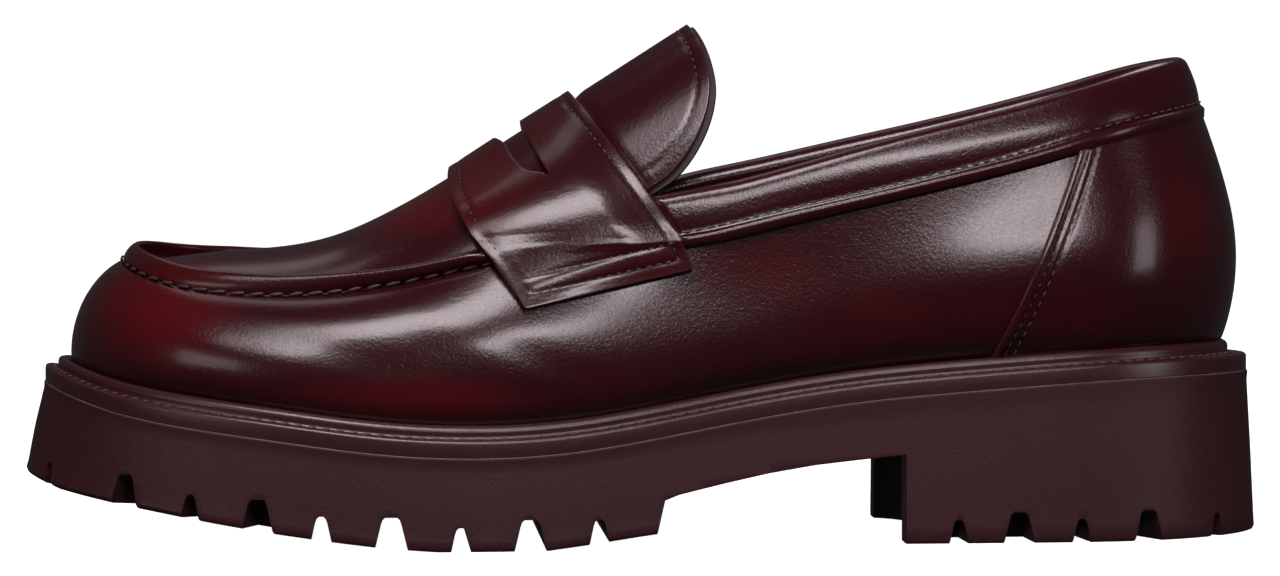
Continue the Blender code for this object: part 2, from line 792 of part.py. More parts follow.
def welt_sheet():
    """Storm welt: flat strip with a rounded rib against the upper."""
    sheet = Sheet()
    for i, ring in enumerate(stations):
        _, out = edge_ring(ring, 0.0)
        wide = margin(out)
        section = (
            (GAP, GAP), (wide, GAP), (wide, WELT_THICKNESS - 0.2 * MM),
            (3.1 * MM, WELT_THICKNESS + 0.3 * MM),
            (2.6 * MM, WELT_THICKNESS + RIB_HEIGHT - 0.7 * MM),
            (1.6 * MM, WELT_THICKNESS + RIB_HEIGHT),
            (GAP, WELT_THICKNESS + RIB_HEIGHT - 0.4 * MM),
        )
        for k, (away, up) in enumerate(section):
            plan, _ = edge_ring(ring, away)
            sheet.add((i, k), (plan[0], plan[1], deck(plan[0]) + up))
    count = len(section)
    for i in range(len(stations)):
        j = (i + 1) % len(stations)
        for k in range(count):
            m = (k + 1) % count
            sheet.face((i, k), (j, k), (j, m), (i, m))
    return sheet


def slab_sheet(levels):
    """Closed slab from rings of points: levels give (plan offset, height) per ring."""
    sheet = Sheet()
    for i, ring in enumerate(stations):
        _, out = edge_ring(ring, 0.0)
        for k, (offset, level) in enumerate(levels(out)):
            plan, _ = edge_ring(ring, offset)
            sheet.add((i, k), (plan[0], plan[1], level(plan[0])))
    count = k + 1
    for i in range(len(stations)):
        j = (i + 1) % len(stations)
        for k in range(count - 1):
            sheet.face((i, k), (j, k), (j, k + 1), (i, k + 1))
    for k in (0, count - 1):
        for i in range(half):
            keys = ((i, k), (i + 1, k), (mirrored(i + 1), k), (mirrored(i), k))
            sheet.face(*(keys if k else reversed(keys)))
    return sheet


def outsole_levels(out):
    top = margin(out)
    low = top + flare(out)
    return (
        (low - 0.8 * MM, underside),
        (low, lambda x: underside(x) + 1.0 * MM),
        (top + 0.55 * flare(out), lambda x: 0.5 * underside(x) + 0.5 * deck(x)),
        (top, deck),
    )


def insole_levels(out):
    inside = -WALL - GAP
    return (
        (inside, lambda x: deck(x) + GAP),
        (inside, lambda x: deck(x) + GAP + INSOLE_THICKNESS),
    )


def prism(sheet, name, centre, direction, start, end, profile):
    """Bar from start to end along a level direction; profile holds (sideways, height)."""
    direction = np.asarray(direction, float)
    sideways = np.array([-direction[1], direction[0]])
    count = len(profile)
    for k, (aside, z) in enumerate(profile):
        for side, reach in enumerate((start, end)):
            plan = np.asarray(centre) + direction * reach + sideways * aside
            sheet.add((name, side, k), (plan[0], plan[1], z))
    for k in range(count):
        m = (k + 1) % count
        sheet.face((name, 0, k), (name, 0, m), (name, 1, m), (name, 1, k))
    sheet.face(*[(name, 0, k) for k in reversed(range(count))])
    sheet.face(*[(name, 1, k) for k in range(count)])


def notch_profile(notch, floor):
    """Trapezoid that widens downwards and starts below the sole."""
    flat = (notch["bottom"] - notch["top"]) / 2 / notch["height"]
    low = notch["bottom"] / 2 + flat * CUTTER_BELOW
    top = notch["top"] / 2
    return (
        (-low, floor - CUTTER_BELOW), (low, floor - CUTTER_BELOW),
        (top, floor + notch["height"]), (-top, floor + notch["height"]),
    )


def ring_at(x, outer, offset):
    """Place round the last where the line this far outside it lies at this place along."""
    low, high = (0.0, float(LAST_ROW)) if outer else (float(RINGS), float(LAST_ROW))
    for _ in range(40):
        middle = (low + high) / 2
        if edge_ring(middle, offset)[0][0] < x:
            low = middle
        else:
            high = middle
    return middle


def notch_sheets():
    """Cutters between the lugs: bars across the forefoot and pockets round toe and heel."""
    bars = Sheet()
    middle = along(MIDDLE_BAR)
    for i in range(-2, 3):
        notch = WIDE_NOTCH if i % 2 else NARROW_NOTCH
        x = middle + i * LUG_PITCH
        profile = notch_profile(notch, underside(x))
        prism(bars, i, (x, 0.0), (0.0, 1.0), -CUTTER_HALF_WIDTH, CUTTER_HALF_WIDTH, profile)
    pockets = Sheet()
    edge = WELT_MARGIN + SIDE_FLARE
    places = [("toe_tip", 0.0, True), ("heel_back", float(LAST_ROW), True)]
    for outer in (True, False):
        for n, x in enumerate(TOE_POCKETS):
            places.append((("toe", outer, n), ring_at(along(x), outer, edge), n % 2 == 0))
        for n, x in enumerate(HEEL_POCKETS):
            places.append((("heel", outer, n), ring_at(along(x), outer, edge), n % 2 == 1))
    for name, ring, wide in places:
        plan, out = edge_ring(ring, edge)
        profile = notch_profile(WIDE_NOTCH if wide else NARROW_NOTCH, underside(plan[0]))
        prism(pockets, name, plan, out, -SIDE_NOTCH_DEPTH, CUTTER_REACH, profile)
    return bars, pockets


def arch_sheet():
    """Cutter for the waist: the gap under the arch between forefoot and heel block."""
    sheet = Sheet()
    low = -CUTTER_BELOW
    line = [(along(x), height(z)) for x, z in ARCH_LINE]
    profile = [(line[0][0], low), *line, (line[-1][0], low)]
    profile = [(-x, z) for x, z in profile]
    reach = CUTTER_HALF_WIDTH
    prism(sheet, "arch", (0.0, 0.0), (0.0, 1.0), -reach, reach, profile)
    return sheet


def channel_sheet():
    """Cutter for the two long channels between the forefoot lugs."""
    sheet = Sheet()
    wide = CHANNEL_WIDTH / 2
    for side in (-1, 1):
        for k, share in enumerate(np.linspace(11.0, 49.0, 12)):
            x = along(share)
            floor = underside(x)
            for m, (aside, z) in enumerate((
                (-wide, floor - CUTTER_BELOW), (wide, floor - CUTTER_BELOW),
                (0.6 * wide, floor + CHANNEL_HEIGHT), (-0.6 * wide, floor + CHANNEL_HEIGHT),
            )):
                sheet.add((side, k, m), (x, side * CHANNEL_ACROSS + aside, z))
        for k in range(11):
            for m in range(4):
                n = (m + 1) % 4
                sheet.face((side, k, m), (side, k, n), (side, k + 1, n), (side, k + 1, m))
        sheet.face(*[(side, 0, m) for m in reversed(range(4))])
        sheet.face(*[(side, 11, m) for m in range(4)])
    return sheet


for thing in list(bpy.data.objects):
    bpy.data.objects.remove(thing)

upper_leather = material("upper_leather", (0.16, 0.02, 0.03), 0.35)
strap_leather = material("strap_leather", (0.20, 0.03, 0.04), 0.35)
collar_leather = material("collar_leather", (0.13, 0.02, 0.025), 0.35)
counter_leather = material("counter_leather", (0.18, 0.025, 0.03), 0.35)
tongue_leather = material("tongue_leather", (0.22, 0.03, 0.04), 0.35)
sole_rubber = material("sole_rubber", (0.09, 0.02, 0.03), 0.5)
welt_rubber = material("welt_rubber", (0.12, 0.03, 0.035), 0.45)
insole_leather = material("insole_leather", (0.30, 0.20, 0.14), 0.6)

outsole = make_object("outsole", slab_sheet(outsole_levels), sole_rubber)
bar_sheet, pocket_sheet = notch_sheets()
helpers = [
    cut(outsole, "cut_arch", arch_sheet()),
    cut(outsole, "cut_bars", bar_sheet),
    cut(outsole, "cut_pockets", pocket_sheet),
    cut(outsole, "cut_channels", channel_sheet()),
]
welt = make_object("welt", welt_sheet(), welt_rubber)
insole = make_object("insole", slab_sheet(insole_levels), insole_leather)
plain, lipped = upper_sheets()
upper = make_object("upper", thickened(plain, WALL, lipped), upper_leather)
band = make_object("collar_band", band_sheet(), collar_leather)
counter = make_object(
    "heel_counter", thickened(counter_sheet(), COUNTER_THICKNESS), counter_leather
)
strap = make_object("saddle_strap", thickened(strap_sheet(), STRAP_THICKNESS), strap_leather)
helpers.append(cut(strap, "cut_slot", slot_sheet()))
tongue = make_object("tongue", thickened(tongue_sheet(), TONGUE_THICKNESS), tongue_leather)

# The sole's outline decides the middle, which goes to the origin
rim = []
for ring in stations:
    widest = edge_ring(ring, 0.0)[1]
    rim.append(edge_ring(ring, margin(widest) + flare(widest))[0])
rim = np.array(rim)
middle = (rim.max(axis=0) + rim.min(axis=0)) / 2
for thing in (outsole, welt, insole, upper, band, counter, strap, tongue, *helpers):
    thing.location = (-middle[0], -middle[1], 0.0)
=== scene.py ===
import math

import bpy
import numpy as np
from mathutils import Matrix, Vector


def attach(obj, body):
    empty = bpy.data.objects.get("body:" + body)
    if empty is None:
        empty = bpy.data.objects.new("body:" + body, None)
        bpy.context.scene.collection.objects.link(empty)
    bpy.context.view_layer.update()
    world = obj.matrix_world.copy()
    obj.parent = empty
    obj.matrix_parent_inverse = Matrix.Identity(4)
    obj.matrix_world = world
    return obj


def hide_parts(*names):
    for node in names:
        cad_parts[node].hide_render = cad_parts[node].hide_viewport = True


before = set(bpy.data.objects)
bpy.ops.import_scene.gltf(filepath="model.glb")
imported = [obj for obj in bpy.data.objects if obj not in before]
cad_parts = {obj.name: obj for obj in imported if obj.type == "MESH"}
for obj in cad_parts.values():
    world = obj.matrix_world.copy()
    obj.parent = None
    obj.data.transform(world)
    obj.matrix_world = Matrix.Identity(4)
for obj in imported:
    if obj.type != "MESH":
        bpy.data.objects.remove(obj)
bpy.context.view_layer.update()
mm = 0.001
print("frame loaded:", sorted(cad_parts))

# The last: places along are percent of its length, across of the ball, up of the collar
last = {"length": 266.5 * mm, "ball": 89 * mm, "collar": 110 * mm, "toeToMiddle": 131.8 * mm,
        "rows": 17, "throat": 9, "corner": 0.9, "wall": 1.8 * mm,
        "lipWidth": 4.8 * mm, "lipLevel": 1.15, "weltThickness": 4.1 * mm, "ribHeight": 3.0 * mm,
        "weltMargin": 6.0 * mm, "heelMargin": 1.4 * mm, "sideFlare": 2.0 * mm, "toeFlare": 2.5 * mm}

# foot along/out/in, seam along/out/in/height, inner rise, turn, bulge out/in, a row per section
sections = np.array([
    (0.0, -5.1, 5.1, 4.5, -4.5, 4.5, 57.5, 0.0, 72, 0.3, 0.3),
    (1.5, 13.5, 23.0, 5.8, 12.9, 21.1, 55.5, 1.6, 72, 0.4, 0.4),
    (5.6, 29.6, 36.0, 9.2, 24.5, 30.3, 52.9, 2.9, 72, 0.9, 0.9),
    (11.3, 40.3, 44.3, 13.7, 30.6, 34.6, 51.4, 3.5, 74, 1.5, 1.3),
    (17.7, 46.3, 48.7, 19.1, 33.5, 36.6, 51.1, 3.5, 75, 2.0, 1.7),
    (24.5, 49.4, 50.2, 24.9, 35.7, 37.8, 52.3, 3.1, 75, 2.2, 1.8),
    (31.3, 50.2, 48.5, 30.7, 37.8, 38.5, 54.8, 2.7, 70, 2.2, 2.0),
    (37.8, 49.2, 44.0, 36.2, 39.3, 38.5, 57.8, 2.3, 60, 2.2, 2.2),
    (44.2, 46.6, 38.7, 42.0, 39.9, 37.8, 59.7, 1.8, 52, 2.2, 2.7),
    (50.0, 43.5, 34.6, 47.8, 39.4, 36.6, 60.8, 1.5, 45, 2.2, 3.1),
    (55.8, 40.0, 32.4, 54.0, 38.4, 35.5, 62.5, 1.1, 38, 2.2, 3.4),
    (62.0, 37.3, 31.3, 60.7, 37.1, 34.8, 66.2, 0.8, 34, 2.2, 3.4),
    (68.6, 35.3, 32.2, 68.2, 36.0, 34.6, 70.3, 0.5, 32, 2.5, 3.4),
    (75.7, 34.5, 33.1, 75.7, 35.1, 34.4, 74.5, 0.2, 30, 2.9, 3.4),
    (82.9, 33.7, 33.1, 82.7, 33.7, 33.5, 78.8, 0.0, 30, 3.4, 3.6),
    (89.8, 31.2, 30.9, 89.2, 30.6, 30.3, 83.4, 0.0, 30, 3.8, 3.9),
    (96.1, 20.9, 20.7, 95.0, 19.4, 19.3, 86.6, 0.0, 30, 4.2, 4.2),
    (100.0, 0.0, 0.0, 98.3, 0.0, 0.0, 88.1, 0.0, 30, 4.4, 4.4)])

# ridge of apron and instep: along, across, height, rib turn, lean of the seam
ridge = np.array([
    (6.3, 4.5, 57.3, 30, 5), (7.9, 4.7, 57.8, 34, 6), (10.4, 5.2, 58.5, 40, 8),
    (14.0, 5.6, 59.4, 44, 10), (18.6, 5.6, 60.3, 48, 14), (23.3, 4.5, 62.9, 54, 22),
    (27.8, 2.8, 67.8, 60, 34), (32.0, 1.1, 73.6, 64, 48), (36.3, 0.3, 80.3, 67, 62),
    (40.6, 0.0, 87.0, 70, 72), (45.0, 0.0, 93.7, 71, 76), (49.3, 0.0, 100.5, 72, 78)])

# edge of the collar behind the throat: along, out, in, height, inner rise
topline = np.array([
    (52.8, 34.8, 33.1, 70.8, 2.0), (59.8, 33.9, 32.6, 74.7, 1.5), (67.5, 32.8, 32.1, 79.9, 0.5),
    (75.0, 31.2, 31.0, 84.5, 0.0), (81.9, 29.2, 29.0, 88.6, 0.0), (88.3, 25.1, 24.7, 93.0, 0.0),
    (93.4, 14.9, 14.8, 96.8, 0.0), (96.4, 0.0, 0.0, 98.4, 0.0)])

# soft ridges and troughs of the wall: x, z, half widths along and up, turn in degrees, height, all else in mm
swells = np.array([
    (82, 57, 42, 15, 12, 2.5), (14, 56, 36, 15, 6, -1.5), (-78, 46, 30, 4.5, -14, -0.45), (-60, 55, 34, 7, -6, 0.5),
    (-99, 44, 12, 14, 0, 0.35), (112, 62, 12, 26, -8, 0.7), (-40, 47, 16, 4, -24, 0.3), (-28, 43, 18, 3.5, -22, -0.25)])

weltLine = np.array([
    (-3.1, 36.5), (3.3, 31.5), (10.4, 28.3), (17.9, 25.9), (26.2, 23.4), (34.4, 22.4), (42.7, 23.4),
    (50.6, 26.3), (58.8, 29.8), (67.1, 32.7), (75.0, 34.5), (84.0, 36.1), (93.4, 37.3), (103.1, 37.5)])


def spline(knots, values, period=None):
    x, y = np.asarray(knots, float), np.asarray(values, float)
    if period:
        x, y = np.append(x, x[0] + period), np.vstack([y, y[:1]])
    n, h = len(x), np.diff(x)
    slope = np.diff(y, axis=0) / h[:, None]
    a, b = np.zeros((n, n)), np.zeros(y.shape)
    for i in range(1, n - 1):
        a[i, i - 1:i + 2] = h[i - 1], 2 * (h[i - 1] + h[i]), h[i]
        b[i] = 6 * (slope[i] - slope[i - 1])
    a[0, 0] = a[-1, -1] = 1
    if period:
        a[0, -1] = -1
        a[-1] = 0
        a[-1, :2] = 2 * h[0], h[0]
        a[-1, -2:] = h[-1], 2 * h[-1]
        b[-1] = 6 * (slope[0] - slope[-1])
    bend = np.linalg.solve(a, b)

    def at(t):
        t = np.asarray(t, float)
        if period:
            t = x[0] + (t - x[0]) % period
        i = np.clip(np.searchsorted(x, t, side="right") - 1, 0, n - 2)
        p = ((x[i + 1] - t) / h[i])[..., None]
        q = 1 - p
        curve = (p**3 - p) * bend[i] + (q**3 - q) * bend[i + 1]
        return p * y[i] + q * y[i + 1] + curve * h[i][..., None]**2 / 6
    return at


def along(share):
    return share / 100 * last["length"] - last["toeToMiddle"]


def across(share):
    return share / 100 * last["ball"]


def height(share):
    return share / 100 * last["collar"]


def together(*values):
    return np.broadcast_arrays(*[np.asarray(v, float) for v in values])


def unit(v):
    return v / np.maximum(np.linalg.norm(v, axis=-1, keepdims=True), 1e-12)


def step(low, high, value):
    t = np.clip((np.asarray(value, float) - low) / (high - low), 0, 1)
    return t * t * (3 - 2 * t)


def bell(value, centre, wide):
    return np.exp(-((np.asarray(value, float) - centre) / wide)**2)


def ringTable():
    rows = []
    for ring in range(2 * last["rows"]):
        outer = ring <= last["rows"]
        s = sections[ring if outer else 2 * last["rows"] - ring]
        side, pick = (-1, 0) if outer else (1, 1)
        rows.append((along(s[0]), side * across(s[1 + pick]), along(s[3]), side * across(s[4 + pick]),
                     height(s[6] + (0 if outer else s[7])), s[8], across(s[9 + pick])))
    return rows


rings, throat = 2 * last["rows"], last["throat"]
ringCurve = spline(range(rings), ringTable(), rings)
ridgeCurve = spline(range(len(ridge)), np.stack([
    along(ridge[:, 0]), across(ridge[:, 1]), height(ridge[:, 2]), ridge[:, 3], ridge[:, 4]], 1))
weltCurve = spline(along(weltLine[:, 0]), height(weltLine[:, 1:2]))


def deck(x):
    return weltCurve(x)[..., 0] - last["weltThickness"]


def crest(x):
    return weltCurve(x)[..., 0] + last["ribHeight"]


def rowOf(ring):
    ring = np.asarray(ring, float) % rings
    return np.minimum(ring, rings - ring)


def outward(ring, first=0):
    d = ringCurve(ring + 0.05) - ringCurve(ring - 0.05)
    return unit(np.stack([d[..., first + 1], -d[..., first], 0 * d[..., 0]], -1))


def wallPoint(ring, level):
    ring, level = together(ring, level)
    r = ringCurve(ring)
    turn = np.radians(r[..., 5])
    inset = (1 - np.cos(level * turn)) / (1 - np.cos(turn))
    rise = np.sin(level * turn) / np.sin(turn)
    bulge = r[..., 6] * np.sin(np.pi * np.maximum(rise, 0)**0.8)
    point = outward(ring) * bulge[..., None]
    point[..., :2] += r[..., :2] + (r[..., 2:4] - r[..., :2]) * inset[..., None]
    low = crest(r[..., 0])
    point[..., 2] = low + (r[..., 4] - low) * rise
    return point + outward(ring) * (swell(point) * np.sin(np.pi * np.clip(rise, 0, 1))**0.3)[..., None]


def swell(point):
    total = 0
    for x, z, wide, tall, turn, high in swells:
        turn = math.radians(turn)
        dx, dz = point[..., 0] / mm - x, point[..., 2] / mm - z
        ahead, over = dx * math.cos(turn) + dz * math.sin(turn), dz * math.cos(turn) - dx * math.sin(turn)
        total = total + high * mm * np.exp(-(ahead / wide)**2 - (over / tall)**2)
    return total


def seamFrame(ring):
    t = rowOf(ring)
    slope = ridgeCurve(t + 0.05) - ridgeCurve(t - 0.05)
    up = unit(np.stack([-slope[..., 2], 0 * t, slope[..., 0]], -1))
    out = outward(ring, 2)
    lean = np.radians(ridgeCurve(t)[..., 4:5])
    inward = unit(-np.cos(lean) * out + np.sin(lean) * up)
    stand = unit(np.sin(lean) * out + np.cos(lean) * up)
    return ringCurve(ring)[..., 2:5], inward, stand


def lipEnd(ring):
    seam, inward, _ = seamFrame(ring)
    return seam + last["lipWidth"] * inward


def ribPoint(ring, share):
    ring, share = together(ring, share)
    r = ridgeCurve(rowOf(ring))
    end = lipEnd(ring) - r[..., :3]
    turn = np.radians(r[..., 3])
    sideways = np.sin(share * turn) / np.sin(turn)
    down = (1 - np.cos(share * turn)) / (1 - np.cos(turn))
    return r[..., :3] + end * np.stack([down, sideways, down], -1)


def toplineTable():
    rows = [ribPoint(throat, last["corner"])]
    for ring in range(throat + 1, rings - throat):
        outer = ring <= last["rows"]
        t = topline[(ring if outer else rings - ring) - throat - 1]
        side = -across(t[1]) if outer else across(t[2])
        rows.append((along(t[0]), side, height(t[3] + (0 if outer else t[4]))))
    return rows + [ribPoint(rings - throat, last["corner"])]


toplineCurve = spline(range(throat, rings - throat + 1), toplineTable())


def collarPoint(ring, share):
    ring, share = together(ring, share)
    seam, edge, s = ringCurve(ring)[..., 2:5], toplineCurve(ring), share[..., None]
    free = seam + (edge - seam) * s + outward(ring, 2) * 0.6 * mm * np.sin(np.pi * s)
    onRib = np.where(s < 0.5, seam + (lipEnd(ring) - seam) * s / 0.5,
                     ribPoint(ring, 1 - (1 - last["corner"]) * (share - 0.5) / 0.5))
    return onRib + (free - onRib) * step(throat + 0.67, throat + 1.67, rowOf(ring))[..., None]


def frontPoint(ring, level):
    ring, level = together(ring, level)
    lip = last["lipLevel"]
    seam, inward, _ = seamFrame(ring)
    strip = seam + last["lipWidth"] * inward * ((level - 1) / (lip - 1))[..., None]
    rib = ribPoint(ring, 1 - (level - lip) / (2 - lip))
    return np.where((level <= 1)[..., None], wallPoint(ring, np.minimum(level, 1)),
                    np.where((level <= lip)[..., None], strip, rib))


def backPoint(ring, level):
    ring, level = together(ring, level)
    return np.where((level <= 1)[..., None], wallPoint(ring, np.minimum(level, 1)),
                    collarPoint(ring, level - 1))


def normalOf(ring, level, point=backPoint):
    ring, level = together(ring, level)
    side = point(ring + 0.08, level) - point(ring - 0.08, level)
    rise = point(ring, np.minimum(level + 0.03, 2)) - point(ring, np.maximum(level - 0.03, 0))
    return unit(np.cross(side, rise))


def raised(ring, level, offset, point=backPoint):
    # offset: metres above the leather's outer face
    return point(ring, level) + normalOf(ring, level, point) * np.asarray(offset, float)[..., None]


def edgeRing(ring, away, up):
    # plan offset from the foot line, height above the deck
    ring, away, up = together(ring, away, up)
    point = outward(ring) * away[..., None]
    point[..., :2] += ringCurve(ring)[..., :2]
    point[..., 2] = deck(point[..., 0]) + up
    return point


def margin(out):
    return last["weltMargin"] + last["heelMargin"] * np.maximum(out[..., 0], 0)**2


def flare(out):
    return last["sideFlare"] + last["toeFlare"] * np.maximum(-out[..., 0], 0)**2


thirds = np.arange(3 * rings) / 3
rim = edgeRing(thirds, margin(outward(thirds)) + flare(outward(thirds)), 0)
middle = np.array([*(rim[:, :2].max(0) + rim[:, :2].min(0)) / 2, 0])


def quads(index, closed=False):
    if closed:
        index = np.vstack([index, index[:1]])
    faces = np.stack([index[:-1, :-1], index[1:, :-1], index[1:, 1:], index[:-1, 1:]], -1).reshape(-1, 4)
    kept = (tuple(dict.fromkeys(f)) for f in faces.tolist())
    return [f for f in kept if len(f) > 2]


def grid(rows, cols, start=0):
    return start + np.arange(rows * cols).reshape(rows, cols)


def hoopFaces(index, closed=True):
    # faces of a profile run along a line, its last point joined to its first
    return [tuple(reversed(f)) for f in quads(np.column_stack([index, index[:, 0]]), closed)]


def newMesh(name, points, edges, faces):
    mesh = bpy.data.meshes.new(name)
    mesh.from_pydata(points, edges, faces)
    return mesh


def put(name, data):
    thing = bpy.data.objects.new(name, data)
    bpy.context.scene.collection.objects.link(thing)
    return thing


def change(piece, name, kind, **values):
    made = piece.modifiers.new(name, kind)
    for key, value in values.items():
        setattr(made, key, value)
    return made


def addPiece(name, points, faces, looks, faceLooks=None, shades=(), bevel=None, slot=None, node=None):
    mesh = newMesh(name, (points.reshape(-1, 3) - middle).tolist(), [], faces)
    for look in looks:
        mesh.materials.append(look)
    if faceLooks is not None:
        mesh.polygons.foreach_set("material_index", faceLooks)
    # shades: red tone, painted shade, painted highlight, one value per point
    for key, values in zip(("red", "dark", "paintedHighlight"), shades):
        mesh.attributes.new(key, "FLOAT", "POINT").data.foreach_set("value", values.astype(np.float32).ravel())
    mesh.shade_smooth()
    mesh.update()
    piece = put(name, mesh)
    if bevel:
        change(piece, "rounded", "BEVEL", width=bevel, segments=3, angle_limit=math.radians(48))
        mesh.set_sharp_from_angle(angle=math.radians(180))
    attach(piece, "root")
    if node:
        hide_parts(node)
    return piece


def pointNormals(points, faces):
    normals = np.zeros_like(points)
    corners = np.array([f if len(f) == 4 else (*f, f[0]) for f in faces])
    area = np.cross(points[corners[:, 2]] - points[corners[:, 0]], points[corners[:, 3]] - points[corners[:, 1]])
    for k in range(4):
        np.add.at(normals, corners[:, k], area)
    return unit(normals)


def shell(name, points, faces, depth, looks, base=None, shades=(), **rest):
    # closed leather of this depth behind the points; base holds the same points without raised work
    points = points.reshape(-1, 3)
    base = points if base is None else base.reshape(-1, 3)
    behind = base - pointNormals(base, faces) * depth
    n = len(points)
    used = {}
    for f in faces:
        for i, b in enumerate(f):
            used.setdefault((min(f[i - 1], b), max(f[i - 1], b)), []).append((f[i - 1], b))
    rimEdges = [found[0] for found in used.values() if len(found) == 1]
    allFaces = list(faces) + [tuple(k + n for k in reversed(f)) for f in faces]
    allFaces += [(b, a, a + n, b + n) for a, b in rimEdges]
    picks = [0] * len(faces) + [min(1, len(looks) - 1)] * len(faces) + [0] * len(rimEdges)
    both = [np.tile(v.ravel(), 2) for v in shades]
    return addPiece(name, np.vstack([points, behind]), allFaces, looks, picks, both, **rest)


def addNode(tree, kind, values=(), **settings):
    # values: for each input a socket to take from, or a plain value
    made = tree.nodes.new(kind)
    for key, value in settings.items():
        setattr(made, key, value)
    for key, value in dict(values).items():
        feed(tree, made.inputs[key], value)
    return made


def feed(tree, socket, value):
    value = getattr(value, "socket", value)
    if isinstance(value, bpy.types.NodeSocket):
        tree.links.new(value, socket)
    elif socket.type == "RGBA" and len(value) == 3:
        socket.default_value = (*value, 1)
    else:
        socket.default_value = value


class Wire:
    def __init__(self, look, socket):
        self.look, self.socket = look, socket

    def sum(self, operation, other):
        return self.look.node("Math", {0: self, 1: other}, operation=operation)

    def __add__(self, other):
        return self.sum("ADD", other)

    def __sub__(self, other):
        return self.sum("SUBTRACT", other)

    def __mul__(self, other):
        return self.sum("MULTIPLY", other)

    def over(self, low, high):
        return self.look.node("MapRange", {0: self, 1: low, 2: high}, clamp=True)

    __radd__ = __add__


class Look:
    def __init__(self, name, **plain):
        self.material = bpy.data.materials.new(name)
        self.material.use_nodes = True
        self.tree = self.material.node_tree
        self.shader = self.tree.nodes["Principled BSDF"]
        for key, value in plain.items():
            self.shader.inputs[key.replace("_", " ")].default_value = value
        self.place = self.node("TexCoord", out="Object")

    def node(self, kind, values=(), out=0, **settings):
        return Wire(self, addNode(self.tree, "ShaderNode" + kind, values, **settings).outputs[out])

    def noise(self, scale, detail=2, rough=0.5, distortion=0):
        return self.node("TexNoise", {"Vector": self.place, "Scale": scale, "Detail": detail,
                                      "Roughness": rough, "Distortion": distortion})

    def cells(self, scale, smooth):
        return self.node("TexVoronoi", {"Vector": self.place, "Scale": scale, "Smoothness": smooth},
                         feature="SMOOTH_F1")

    def shade(self, key):
        return self.node("Attribute", out="Fac", attribute_name=key)

    def blend(self, factor, first, second):
        return self.node("Mix", {0: factor, 6: first, 7: second}, 2, data_type="RGBA", clamp_factor=True)

    def bump(self, level, deep):
        return self.node("Bump", {"Height": level, "Distance": deep, "Strength": 0.8})

    def finish(self, **sockets):
        for key, value in sockets.items():
            feed(self.tree, self.shader.inputs[key.replace("_", " ")], value)
        return self.material


# the lightest colour is a painted highlight for edges, piping and rolled tops; the darkest also paints shade in
# grooves, creases and low places
leather = {"dark": (0.010, 0.0016, 0.0024), "wine": (0.036, 0.0030, 0.0058), "red": (0.132, 0.0030, 0.0050),
           "paintedHighlight": (0.085, 0.022, 0.026), "grain": 1900, "grainDeep": 0.000062,
           "coat": 0.37, "coatRough": 0.15, "shine": 0.33}


def leatherLook(name, redness=0.5, rough=0.21):
    look = Look(name, Coat_Roughness=leather["coatRough"], Specular_IOR_Level=leather["shine"])
    cloud = look.noise(17, 3, 0.55)
    patch = look.shade("red") + (cloud - 0.5) * 0.9 + (redness - 0.5)
    body = look.blend(patch.over(0.1, 0.95), leather["wine"], leather["red"])
    # painted shade from each point's dark shade, plus random darker tone from noise
    deep = look.shade("dark") + (look.noise(28, 2) - 0.5) * 0.5
    body = look.blend(deep.over(0.2, 1.0), body, leather["dark"])
    # painted highlight along edges, piping crests and rolled tops
    body = look.blend(look.shade("paintedHighlight").over(0, 1) * 0.6, body, leather["paintedHighlight"])
    speck = look.noise(2600, 2, 0.6)
    body = look.blend(speck.over(0.35, 0.75) * 0.22, body, leather["dark"])
    pores = look.cells(leather["grain"], 0.7)
    wave = look.noise(1200, 3, 0.6, 0.5)
    relief = pores * 0.35 + wave * 1.1 + look.noise(420, 2, 0.5) * 0.4
    bump = look.bump(relief, leather["grainDeep"])
    gloss = rough - 0.05 + cloud * 0.07 + wave * 0.06
    return look.finish(Base_Color=body, Roughness=gloss, Coat_Weight=leather["coat"], Normal=bump)


def plainLook(name, colour, other, scale, rough, deep, grainScale):
    look = Look(name)
    tint = look.noise(scale, 4, 0.6)
    body = look.blend(tint.over(0.3, 0.7), colour, other)
    bump = look.bump(look.noise(grainScale, 3, 0.65), deep)
    return look.finish(Base_Color=body, Roughness=rough, Normal=bump)


def rubberLook(name, rough=0.47, fine=0.00010, shine=0.42):
    look = Look(name, Specular_IOR_Level=shine)
    cloud = look.noise(22, 4, 0.6)
    body = look.blend(cloud.over(0.3, 0.72), (0.034, 0.0062, 0.0084), (0.047, 0.0090, 0.0118))
    body = look.blend(look.noise(1800, 2, 0.7).over(0.4, 0.8) * 0.35, body, (0.066, 0.022, 0.026))
    sand = look.noise(1500, 4, 0.7)
    bump = look.bump(sand, fine)
    return look.finish(Base_Color=body, Roughness=rough - 0.04 + sand * 0.1, Normal=bump)


upperLook = leatherLook("oxblood_leather", 0.5)
strapLook = leatherLook("strap_oxblood", 0.35, 0.22)
collarLook = leatherLook("collar_oxblood", 0.4, 0.20)
counterLook = leatherLook("counter_oxblood", 0.5)
tongueLook = leatherLook("tongue_oxblood", 0.5)
liningLook = plainLook("lining_leather", (0.022, 0.006, 0.008), (0.035, 0.010, 0.012), 60, 0.6, 0.00012, 900)
sockLook = plainLook("sock_leather", (0.05, 0.018, 0.018), (0.075, 0.028, 0.026), 40, 0.55, 0.00012, 900)
threadLook = plainLook("waxed_thread", (0.075, 0.028, 0.033), (0.12, 0.052, 0.058), 700, 0.5, 0.00008, 3000)
seamThreadLook = plainLook("dark_thread", (0.045, 0.015, 0.019), (0.080, 0.030, 0.036), 700, 0.5, 0.00008, 3000)
soleLook = rubberLook("lug_rubber")
weltLook = rubberLook("welt_rubber", 0.29, 0.00006, 0.7)
# painted highlight: a lighter, glossier rubber for the thin ring along the outsole's top edge
soleHighlightLook = plainLook("painted_sole_highlight", (0.10, 0.055, 0.06), (0.17, 0.11, 0.115), 300, 0.35, 0.00005, 1500)
print("finishes ready")


